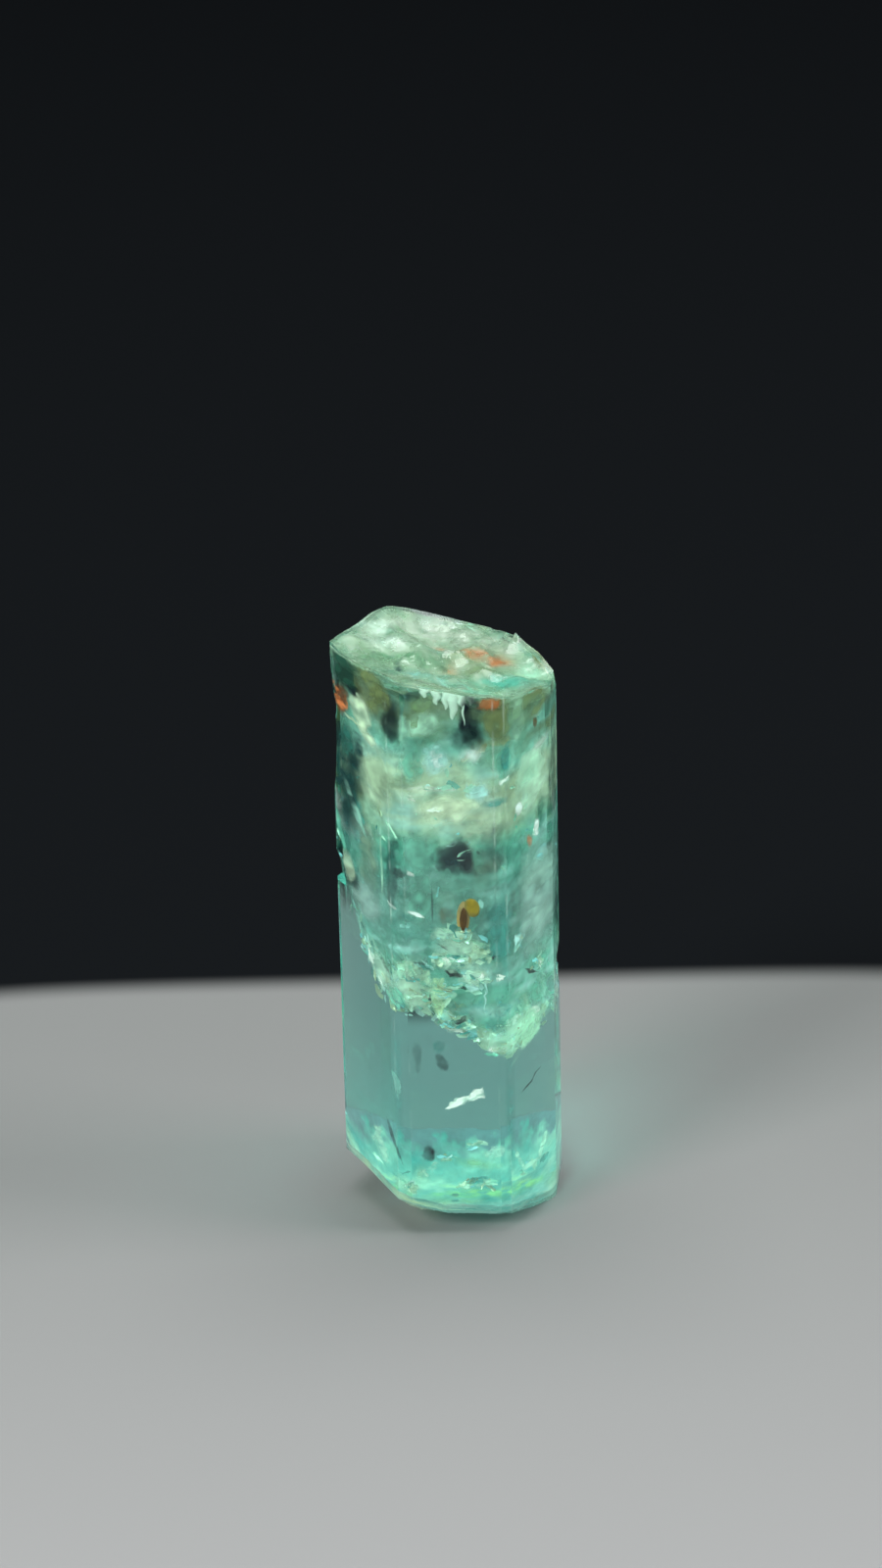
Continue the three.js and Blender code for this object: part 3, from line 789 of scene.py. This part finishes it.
def side_cloud(turn, seed):
    """A cloud anywhere between the fracture and the upper break, tinted as its height asks."""
    across = draw.uniform(-4.2, 4.2)
    if behind_skin(np.array(across), np.array(0.5), turn)[1] < FRONT_ZONE:
        across = -across
    lowest = 0.8 + fracture_height(*behind_skin(np.array(across), np.array(0.5), turn))
    height = draw.uniform(min(lowest, 24.0), 27.2)
    light = MILK if height < 16 else ICE if 23.4 < height < 25 else CREAM if height > 20 else MINT
    tint = [light, light, WHITE, TEAL, DEEP, SLATE, OLIVE, MINT][draw.integers(0, 8)]
    wide, high = draw.uniform(0.15, 0.8), draw.uniform(0.2, 1.5)
    lean, depth = draw.uniform(-30, 30), draw.uniform(0.3, 0.7)
    return cloud(across, height, wide, high, lean, depth, tint, draw.uniform(0.5, 0.9), seed, turn)


side_clouds = [
    side_cloud(turn, 200.0 + turn + i) for turn in OTHER_SIDES for i in range(CLOUDS_A_SIDE)
]
grown_piece("clouds_other_sides", side_clouds, cloud_finish)

# --------------------------------------
# The open fracture: a hackly break that crosses the whole crystal inside, whose flakes
# throw the light back. Below it the crystal is clear.
# --------------------------------------
FRACTURE_REACH, FRACTURE_ROWS = (0.03, 0.965), 60
PALE_HACKLE, WARM_HACKLE = (0.62, 0.76, 0.66), (0.58, 0.68, 0.46)
FLAKE_TINTS = np.array([FOAM, PALE, MILK, MILK, ICE, STRAW, MINT, TEAL])
FRACTURE_FLAKES, SPANGLES = 560, 420
FLAKE_TAPER, FLAKE_CURL, FLAKE_RAGGED = 0.45, 0.12, 0.25


def past_steep(x, y):
    """How far right of the fracture's steep part, whose edge turns right towards the back."""
    return x + 3.8 - 0.4 * np.maximum(y + 2, 0)


def fracture_sheet(lift, cover, seed):
    """The fracture's surface: lift above fracture_height, plus hackles and sharp folds. It is
    streaked down its slope, and fades in its steep part and near the crystal's faces."""
    share = np.linspace(*FRACTURE_REACH, FRACTURE_ROWS)[:, None]
    x, y = (c * share for c in section_outline(COARSE_COLUMNS).T)
    hackle = np.abs(cloud_noise(x * 0.8, y * 0.8, 0.0, 1.1, seed))
    z = fracture_height(x, y) + lift - 0.8 * hackle + folds(x, y, 0.16, seed)
    along, over = x * 0.8 - y * 0.6, x * 0.6 + y * 0.8
    streak = cloud_noise(along * 0.45, over * 1.6, 0.0, 0.9, seed + 5)
    warm = cloud_noise(x, y, z, 1.5, seed, 2)
    tint = mixed(MINT, PALE_HACKLE, 0.3 + 1.2 * streak)
    tint = mixed(tint, WARM_HACKLE, 0.2 + 0.9 * warm)
    tint = mixed(tint, DEEP, -2.2 * streak - 0.4)
    cover = cover * (0.6 + 1.4 * streak) * np.clip(past_steep(x, y), 0, 1)
    return sheet(x, y, z, tint, cover * np.clip((0.95 - share) * 9, 0, 1), True)


def flakes(middles, facing, along, sizes, least_cover, tumble):
    """Small curled chips, tinted by chance: each a 3 by 4 grid, tapering and ragged. Each looks
    roughly the way facing says and is longest roughly along the way along says."""
    count = len(middles)
    tints = FLAKE_TINTS[draw.integers(0, len(FLAKE_TINTS), count)]
    covers = draw.uniform(least_cover, 1, count)
    normal = np.asarray(facing) + tumble * draw.normal(size=(count, 3))
    normal /= np.linalg.norm(normal, axis=1, keepdims=True)
    long_way = np.asarray(along) + tumble * draw.normal(size=(count, 3))
    side = np.cross(normal, long_way)
    side /= np.linalg.norm(side, axis=1, keepdims=True)
    long_way = np.cross(side, normal)
    u, v = np.meshgrid((-1, 0, 1), (-1, -0.35, 0.35, 1))
    wide = sizes * draw.uniform(0.2, 0.6, count)
    grid = (
        side[:, None, None] * (u * (1 - FLAKE_TAPER * v**2) * wide[:, None, None])[..., None]
        + long_way[:, None, None] * (v * sizes[:, None, None])[..., None]
        + normal[:, None, None] * ((u**2 + v**2) * sizes[:, None, None] * FLAKE_CURL)[..., None]
    )
    grid = grid + FLAKE_RAGGED * sizes[:, None, None, None] * draw.uniform(-1, 1, grid.shape)
    place = np.stack(kept_inside(*np.moveaxis(middles[:, None, None] + grid, -1, 0)), -1)
    tints = np.broadcast_to(tints[:, None, None], place.shape)
    covers = np.broadcast_to(covers[:, None, None], place.shape[:3])
    return [(p, t, False) for p, t in zip(place, with_cover(tints, covers))]


def scattered(count, low, high, reach=0.93):
    """Points by chance over the section, between two surfaces given as functions of x and y."""
    turn, out = draw.uniform(0, 2 * np.pi, count), np.sqrt(draw.uniform(0, 1, count))
    x, y = np.cos(turn), np.sin(turn)
    fit = out * reach / outline_share(x, y)
    x, y = x * fit, y * fit
    floor, ceiling = low(x, y), high(x, y)
    return np.stack([x, y, floor + (ceiling - floor) * draw.uniform(0, 1, count)], -1)


near_fracture = scattered(
    FRACTURE_FLAKES,
    lambda x, y: fracture_height(x, y) - 0.6,
    lambda x, y: fracture_height(x, y) + 0.9,
)
near_fracture = near_fracture[past_steep(*near_fracture[:, :2].T) > 0.1]
sizes = draw.uniform(0.1, 0.34, len(near_fracture))
fracture_flakes = flakes(near_fracture, (0.45, -0.5, 0.85), (0.8, 0.0, -0.6), sizes, 0.5, 0.5)
# Where the flakes crowd behind the front face: middle, half width and height, lean, number.
CROWDS = [
    (0.4, 15.6, 1.0, 0.35, -20, 26), (0.3, 14.4, 0.9, 0.35, 5, 26), (1.1, 13.4, 0.6, 0.35, -8, 20),
    (0.2, 12.8, 1.0, 0.3, -5, 14), (-0.5, 12.3, 0.4, 0.9, -60, 16), (-3.5, 13.8, 0.3, 0.6, -75, 18),
    (-3.0, 12.8, 0.35, 0.8, -60, 26), (-2.3, 12.4, 0.6, 0.5, -50, 20),
    (-1.7, 13.6, 0.6, 0.7, -45, 14), (-0.9, 12.25, 0.7, 0.3, -20, 16), (0.2, 10.9, 0.6, 0.2, -10, 16),
    (1.0, 10.4, 0.4, 0.3, -30, 12), (2.3, 9.9, 0.6, 0.45, -15, 30), (3.4, 10.0, 0.8, 0.7, 25, 18),
    (3.8, 12.9, 0.4, 0.35, 0, 10), (2.95, 14.8, 0.2, 0.4, 70, 5), (-1.5, 16.7, 0.5, 0.2, -25, 4),
    (0.9, 4.6, 0.4, 0.2, 5, 5), (-0.3, 4.0, 0.4, 0.15, 0, 4), (1.0, 2.5, 0.7, 0.2, 5, 8),
    (-2.0, 2.6, 0.3, 0.5, 50, 7), (3.4, 2.5, 0.6, 0.2, 10, 6), (1.4, 22.9, 0.5, 0.5, 20, 7),
    (3.2, 21.4, 0.25, 0.4, 70, 5), (-0.4, 23.0, 1.4, 0.12, -3, 8), (1.2, 24.6, 0.6, 0.25, 10, 6),
    (0.5, 19.7, 0.8, 0.9, 40, 5),
]  # fmt: skip


def crowd(across, height, wide, high, lean, count):
    """Flakes by chance in an ellipse behind the front faces, long along its lean."""
    u, v = np.clip(draw.normal(size=(2, count)) * 0.55, -1.2, 1.2)
    a = across + wide * u
    x, y = behind_skin(a, draw.uniform(0.12, 0.5, count), FRONT)
    middles = np.stack([x, y, height + high * v], -1)
    way = (np.cos(lean * DEG), 0.0, np.sin(lean * DEG))
    sizes = draw.uniform(0.1, 0.3, count) * min(1.4, 0.6 + max(wide, high))
    return flakes(middles, (0, -0.8, 0.6), way, sizes, 0.4, 0.4)


fracture_flakes += [flake for group in CROWDS for flake in crowd(*group)]
# Spangles: lone flakes anywhere in the veils.
spangle_places = scattered(SPANGLES, fracture_height, lambda x, y: upper_break(x, y) - 0.3, 0.96)
sizes = draw.uniform(0.05, 0.26, SPANGLES)
spangles = flakes(spangle_places, (0, 0, 0), (0, 0, 0.3), sizes, 0.5, 1.0)
fracture = [fracture_sheet(0.3, 0.8, 61.0), fracture_sheet(0.9, 0.55, 67.0)]
grown_piece("fracture", fracture, grown_in("fracture", 0.35, painted_glow=0.22, mirror=0.2))
flake_finish = grown_in("flake", 0.3, painted_glow=0.25, mirror=0.3)
grown_piece("fracture_flakes", fracture_flakes, flake_finish)
grown_piece("spangles", spangles, flake_finish)

# --------------------------------------
# Flaws named one by one: bright chips and cracks, the fringe of splinters below the upper rim, dark
# slots in the fracture, rust in the worn hollow, and glints near the base, which are painted
# highlights.
# --------------------------------------
# As FRONT_CLOUDS, but with hard edges.
FRONT_FLAWS = [
    (0.35, 15.3, 1.0, 0.4, -20, 0.3, MILK, 0.8), (0.4, 14.2, 1.0, 0.4, 3, 0.3, MILK, 0.8),
    (1.3, 14.6, 0.5, 0.5, 0, 0.3, (0.42, 0.6, 0.42), 0.7), (1.1, 13.4, 0.6, 0.4, 5, 0.3, MILK, 0.8),
    (-0.5, 12.4, 0.4, 0.85, 0, 0.35, (0.48, 0.7, 0.4), 0.7),
    (-0.95, 12.3, 0.06, 0.5, 0, 0.15, DEEP, 0.9),
    (-1.7, 13.7, 0.6, 0.75, 20, 0.4, (0.42, 0.6, 0.42), 0.6),
    (-2.4, 12.3, 0.5, 0.4, -50, 0.25, MINT, 0.7), (1.2, 11.9, 0.9, 0.6, -15, 0.6, TEAL, 0.7),
    (2.1, 11.0, 0.5, 0.5, 0, 0.4, TEAL, 0.7),
    (3.1, 10.1, 1.1, 0.95, 25, 0.35, (0.42, 0.72, 0.52), 0.6),
    (-2.9, 13.7, 0.1, 0.5, 30, 0.2, SLATE, 0.7), (-0.4, 24.5, 0.3, 0.35, 0, 0.25, WHITE, 0.5),
    (-2.65, 4.4, 0.08, 1.1, 18, 0.2, SLATE, 0.9), (1.15, 2.85, 0.42, 0.18, -5, 0.2, TEAL, 0.8),
    (3.6, 2.7, 0.6, 0.2, -5, 0.2, FOAM, 0.7), (2.95, 3.5, 0.12, 0.6, 15, 0.2, FOAM, 0.6),
    (4.15, 3.4, 0.12, 0.6, -15, 0.2, FOAM, 0.7), (2.3, 11.8, 0.4, 0.5, 0, 0.3, TEAL, 0.7),
    (-1.3, 3.4, 0.5, 0.3, 10, 0.3, MILK, 0.5), (-3.4, 3.9, 0.35, 0.7, 20, 0.3, MILK, 0.5),
    (2.0, 4.3, 0.5, 0.25, 10, 0.3, FOAM, 0.4), (-4.65, 26.0, 0.3, 0.6, 0, 0.16, RUST, 0.9),
    (-4.65, 25.4, 0.28, 0.9, -4, 0.15, (0.12, 0.045, 0.02), 0.85),
    (-3.85, 23.6, 0.4, 1.3, -8, 0.2, DEEP, 0.8),
    (0.4, 19.5, 0.8, 0.8, 40, 0.28, (0.01, 0.035, 0.038), 0.8),
]  # fmt: skip
# Shards: flat chips, given by four corners, each so far right of the axis and so high, and tint.
SHARDS = [
    (-0.7, 16.0, -0.1, 16.0, 1.85, 15.1, 1.25, 14.8, MILK),
    (-0.3, 14.55, 0.2, 14.35, 1.25, 14.5, 0.5, 14.05, WHITE),
    (-0.4, 14.5, -0.1, 14.5, 0.2, 13.9, -0.2, 13.95, WHITE),
    (0.55, 13.55, 1.45, 13.85, 1.6, 13.35, 0.7, 13.1, WHITE),
    (-0.75, 13.05, 0.55, 13.0, 0.45, 12.8, -0.65, 12.75, FOAM),
    (1.55, 13.2, 1.68, 13.2, 1.62, 11.5, 1.5, 11.5, PALE),
    (-3.55, 13.9, -3.3, 13.7, -3.4, 13.25, -3.7, 13.15, WHITE),
    (-3.2, 12.8, -2.85, 12.85, -3.0, 12.4, -3.1, 12.3, WHITE),
    (-2.75, 12.75, -2.05, 12.65, -1.95, 11.9, -2.3, 12.1, MINT),
    (-1.4, 12.4, -0.85, 12.2, -0.95, 11.85, -1.2, 11.9, MINT),
    (-0.35, 10.95, 0.6, 10.8, 0.5, 10.55, -0.25, 10.6, WHITE),
    (0.7, 10.95, 1.25, 10.75, 1.15, 10.1, 0.7, 10.25, ICE),
    (1.5, 9.7, 2.0, 10.1, 2.8, 9.7, 2.6, 9.3, WHITE),
    (2.0, 10.5, 2.35, 10.7, 2.7, 10.0, 2.25, 9.9, PALE),
    (2.8, 10.9, 4.1, 10.0, 3.95, 9.3, 3.1, 9.0, (0.42, 0.7, 0.5)),
    (3.65, 10.85, 4.0, 10.75, 3.9, 10.2, 3.65, 10.4, WHITE),
    # Painted highlight: the white shard on the next line, beside the dark speck.
    (3.9, 13.2, 4.15, 12.95, 4.1, 12.4, 3.85, 12.7, WHITE),
    (2.85, 15.2, 3.1, 14.9, 3.15, 14.5, 2.85, 14.25, PALE),
    (2.1, 13.5, 2.5, 13.45, 2.45, 13.15, 2.1, 13.1, WHITE),
    # Painted glints: the white and cream shards on the next two lines.
    (3.0, 21.75, 3.25, 21.6, 3.25, 21.0, 3.05, 21.15, WHITE),
    (-4.5, 25.2, -4.1, 25.3, -3.45, 25.0, -4.1, 24.95, CREAM),
    (-1.8, 22.75, -1.4, 22.65, -1.4, 22.35, -1.7, 22.4, WHITE),
    (-1.0, 22.0, 0.0, 22.15, -0.4, 21.85, -0.9, 21.85, WHITE),
    (2.3, 23.3, 2.7, 23.35, 2.65, 23.05, 2.35, 23.0, WHITE),
    (-2.65, 21.2, -2.5, 21.2, -2.2, 20.5, -2.35, 20.5, MILK),
    (3.85, 20.1, 3.98, 20.0, 3.95, 19.45, 3.82, 19.55, WHITE),
    (-1.85, 16.9, -1.4, 16.85, -1.05, 16.5, -1.4, 16.6, WHITE),
    (-1.85, 18.95, -1.55, 18.8, -1.5, 18.7, -1.8, 18.7, WHITE),
    (-2.75, 17.2, -2.65, 17.2, -2.35, 16.9, -2.45, 16.85, WHITE),
    (-0.45, 6.55, 0.0, 7.12, 0.9, 7.3, 0.55, 6.8, WHITE),
    (0.4, 7.05, 1.38, 7.8, 1.5, 7.15, 0.7, 6.9, WHITE),
    (-2.6, 8.4, -2.45, 8.3, -2.35, 7.4, -2.55, 6.9, (0.3, 0.5, 0.45)),
    # Painted glints near the base: the pale shards from here to the first slate.
    (0.75, 4.75, 1.35, 4.9, 1.2, 4.6, 0.85, 4.5, FOAM),
    (-0.7, 4.0, 0.0, 4.0, -0.1, 3.8, -0.65, 3.75, FOAM),
    (0.15, 2.55, 0.75, 2.65, 0.75, 2.35, 0.25, 2.3, FOAM),
    (1.3, 2.75, 2.1, 2.75, 2.0, 2.5, 1.4, 2.45, FOAM),
    (-3.85, 3.05, -3.45, 3.05, -3.1, 2.85, -3.5, 2.75, FOAM),
    (-2.2, 2.7, -1.7, 2.55, -1.8, 2.1, -2.2, 2.2, MILK),
    (-0.3, 13.9, 0.2, 13.85, 0.75, 13.35, 0.0, 13.35, SLATE),
    (0.35, 13.0, 0.75, 12.88, 0.7, 12.78, 0.35, 12.88, SLATE),
    (0.05, 11.2, 0.75, 11.45, 0.75, 11.15, 0.2, 10.98, SLATE),
    (-0.65, 15.3, -0.3, 15.12, 0.3, 14.72, -0.2, 14.92, SLATE),
    (1.9, 14.85, 2.1, 14.65, 2.05, 14.3, 1.92, 14.3, SLATE),
    (3.3, 13.1, 3.55, 13.0, 4.0, 12.4, 3.4, 12.65, SLATE),
    (3.0, 6.75, 3.2, 6.9, 3.95, 7.45, 3.65, 7.1, SLATE),
]  # fmt: skip
SHARD_DEPTHS = (0.12, 0.4)
# The fringe: how far right of the axis, its tip's height and its width at the top.
FRINGE = [(-0.35, 27.15, 0.5), (0.05, 26.9, 0.4), (0.38, 26.4, 0.6), (0.75, 27.0, 0.45)]
FRINGE += [(0.85, 26.1, 0.2), (1.2, 27.1, 0.5), (-0.9, 27.5, 0.5), (1.7, 27.5, 0.4)]
FRINGE_DEPTH = 0.12
SPLINTER_GRID, SHARD_GRID = (7, 26), (12, 10)


def splinter(across, tip, wide):
    """A tongue behind the front face, from the upper rim down to its tip: its width falls
    with the square root of the way down."""
    u, v = np.meshgrid(np.linspace(-1, 1, SPLINTER_GRID[0]), np.linspace(0, 1, SPLINTER_GRID[1]))
    a = across + 0.5 * wide * u * np.sqrt(1 - v) + 0.04 * np.sin(9 * v + across * 7)
    x, y = behind_skin(a, FRINGE_DEPTH + 0.05 * u**2, FRONT)
    rim = upper_break(x, y) - 0.1
    z = rim + (tip - rim) * v
    cover = (0.95 - 0.25 * v) * (1 - 0.6 * u**4)
    return sheet(x, y, z, mixed(MILK, WHITE, 0.4 + 0 * v), cover)


def shard(places, tint):
    """A chip spread evenly between its corners, its edges bitten by noise, tilted by chance, and
    clouded in streaks from its first edge to its last."""
    u, v = np.meshgrid(*(np.linspace(0, 1, count) for count in SHARD_GRID))
    first, second, third, fourth = np.array(places).reshape(4, 2, 1, 1)
    a, z = first * (1 - u) * (1 - v) + second * u * (1 - v) + third * u * v + fourth * (1 - u) * v
    bite = 0.06 * cloud_noise(a, z, 0.0, 0.16, places[0], 2)
    a, z = a + bite, z - bite
    near, far = SHARD_DEPTHS
    tilt = draw.uniform(-0.5, 0.5, 2)
    sunk = 0.4 + tilt[0] * (2 * u - 1) + tilt[1] * (2 * v - 1)
    depth = near + (far - near) * np.clip(sunk, 0, 1)
    x, y = behind_skin(a, depth, FRONT)
    streak = cloud_noise(u * 0.6, v * 2.5, 0.0, 0.5, places[1])
    colour = mixed(np.asarray(tint) * (0.55, 0.8, 0.7), tint, 0.75 + streak)
    inside = 1 - np.maximum(np.abs(2 * u - 1), np.abs(2 * v - 1))
    return sheet(x, y, z, colour, (0.9 + 0.5 * streak) * np.clip(0.15 + 3 * inside, 0, 1))


front_flaws = [
    cloud(*parts, seed=90.0 + i, softness=0.3, torn=0.7, streaked=0.9)
    for i, parts in enumerate(FRONT_FLAWS)
]
front_flaws += [splinter(*parts) for parts in FRINGE]
front_flaws += [shard(places, tint) for *places, tint in SHARDS]
grown_piece("flaws_front", front_flaws, grown_in("flaw", 0.3, painted_glow=0.35, frosting=0.5, bump=0.04))

# --------------------------------------
# The amber-brown crystal: a lens of iron-stained clay in its own orange hollow, with a blob
# of yellow ochre beside it, closed in by the beryl.
# --------------------------------------
# Each: distance right of the axis, height, half width, half height, half thickness, lean.
LENS = (0.65, 16.4, 0.17, 0.62, 0.1, 2)
LENS_HOLLOW = (0.64, 16.45, 0.3, 0.85, 0.05, 2)
OCHRE_BLOB = (1.05, 16.95, 0.34, 0.48, 0.12, -15)
LENS_DEPTH, HOLLOW_DEPTH, HOLLOW_ORANGE = 0.22, 0.34, (0.75, 0.42, 0.12)
PEBBLE_ROWS, PEBBLE_COLUMNS = 22, 28


def pebble(across, height, wide, high, thick, lean, depth, tint, pointed, seed):
    """A closed ellipsoid behind the front face. Its width is the cosine of the latitude to the
    power pointed: above 1 it comes to points."""
    latitude = np.linspace(-0.5, 0.5, PEBBLE_ROWS)[:, None] * np.pi * 0.999
    longitude = np.linspace(0, 2 * np.pi, PEBBLE_COLUMNS, endpoint=False)[None]
    lumps = 1 + 0.08 * cloud_noise(np.cos(longitude), np.sin(longitude), latitude, 0.7, seed)
    girth = np.cos(latitude) ** pointed * lumps
    u, w = wide * girth * np.cos(longitude), thick * girth * np.sin(longitude)
    v = high * np.sin(latitude) + 0 * longitude
    cos, sin = np.cos(lean * DEG), np.sin(lean * DEG)
    a, z = across + u * cos + v * sin, height + v * cos - u * sin
    x, y = behind_skin(np.full_like(a, across), np.full_like(a, depth), FRONT)
    x, y = x + (a - across), y + w
    tone = 0.5 + 0.8 * cloud_noise(a, w, z, 0.3, seed + 5)
    tint = mixed(np.asarray(tint) * 0.7, tint, tone)
    return np.stack([x, y, z], -1), with_cover(tint, np.ones_like(a)), True


amber = [
    pebble(*LENS, LENS_DEPTH, BARK, pointed=1.5, seed=1.0),
    pebble(*LENS_HOLLOW, HOLLOW_DEPTH, HOLLOW_ORANGE, pointed=1.3, seed=2.0),
    pebble(*OCHRE_BLOB, HOLLOW_DEPTH, OCHRE, pointed=0.9, seed=3.0),
]
grown_piece("amber_crystal", amber, grown_in("iron_stained_clay", 0.3, painted_glow=0.1, frosting=0.0))

# --------------------------------------
# Edge highlights, painted: where two faces meet, a hair's breadth of pale strip that comes and goes
# stands in for the light that the edge catches.
# --------------------------------------
HIGHLIGHT_WIDTH, HIGHLIGHT_ROWS = 0.06, 160
EDGE_REACH = 5.2  # from the axis to an edge, about


def edge_highlight_strip(corner, seed):
    """A narrow strip of painted highlight under an edge of the prism, from one break to the other,
    folded round it.
    """
    u = np.linspace(-1, 1, 5)[None]
    rise = np.linspace(0, 1, HIGHLIGHT_ROWS)[:, None]
    turn = np.arctan2(corner[1], corner[0]) + u * HIGHLIGHT_WIDTH / EDGE_REACH
    x, y = np.cos(turn) + 0 * rise, np.sin(turn) + 0 * rise
    fit = 1 / outline_share(x, y)
    x, y = x * fit, y * fit
    foot, top = lower_break(x, y), upper_break(x, y)
    z = foot + (top - foot) * rise
    # Noise for where the painted highlight shows along the edge.
    broken = cloud_noise(x, y, z, 0.9, seed, 4)
    x, y, z = kept_inside(x, y, z, 0.04)
    cover = np.minimum(0.03 + 0.3 * broken, 0.26) * np.clip((z - 9) / 8, 0.3, 1) * (1 - u**4)
    return np.stack([x, y, z], -1), with_cover(mixed(MILK, WHITE, 0.5 + broken), cover), False


corners = section_outline(np.ones(len(FACES)))
# Painted highlights along every edge of the prism.
edges = [edge_highlight_strip(corner, 301.0 + i) for i, corner in enumerate(corners)]
grown_piece("painted_edge_highlights", edges, grown_in("painted_edge_highlight", 0.4, painted_glow=0.15))

# --------------------------------------
# The light: soft boxes over, in front and to the right of the crystal, in a dim studio.
# --------------------------------------
LIT_POINT = (0.0, 0.0, 14.0)


def soft_box(name, place, size, watts):
    """A rectangular area light at place, facing LIT_POINT. Sizes in millimetres."""
    lamp = bpy.data.lights.new(name, "AREA")
    lamp.shape, lamp.size, lamp.size_y = "RECTANGLE", size[0] * MM, size[1] * MM
    lamp.energy = watts
    box = bpy.data.objects.new(name, lamp)
    x, y, z = np.array(LIT_POINT) - place
    box.rotation_euler = (np.arctan2(np.hypot(x, y), -z), 0, np.arctan2(-x, y))
    box.location = [c * MM for c in place]
    bpy.context.scene.collection.objects.link(box)


soft_box("overhead", (0, 60, 330), (260, 200), 0.95)
soft_box("front_left", (-190, -170, 210), (90, 120), 0.72)
soft_box("right", (210, -20, 150), (80, 180), 0.36)

world = bpy.data.worlds.new("dim_studio")
bpy.context.scene.world = world
world.use_nodes = True
world.node_tree.nodes["Background"].inputs["Color"].default_value = (0.75, 0.85, 0.9, 1)
world.node_tree.nodes["Background"].inputs["Strength"].default_value = 0.045

# --------------------------------------
# The camera: a long lens, looking 25.5 degrees down and rolled 1.2 degrees.
# --------------------------------------
camera = bpy.data.objects.new("camera", bpy.data.cameras.new("camera"))
camera.data.lens = 113.85
camera.data.sensor_width = 36.0
camera.data.clip_start, camera.data.clip_end = 0.01, 10.0
camera.location = [c * MM for c in (0.0, -204.93, 118.92)]
camera.rotation_euler = (64.456 * DEG, 1.198 * DEG, -0.509 * DEG)
bpy.context.scene.collection.objects.link(camera)
bpy.context.scene.camera = camera

bpy.context.scene.view_settings.view_transform = "Standard"
light_bounces = bpy.context.scene.cycles
light_bounces.max_bounces = 12
light_bounces.transmission_bounces = 12
light_bounces.transparent_max_bounces = 24
light_bounces.glossy_bounces = 6
light_bounces.diffuse_bounces = 2
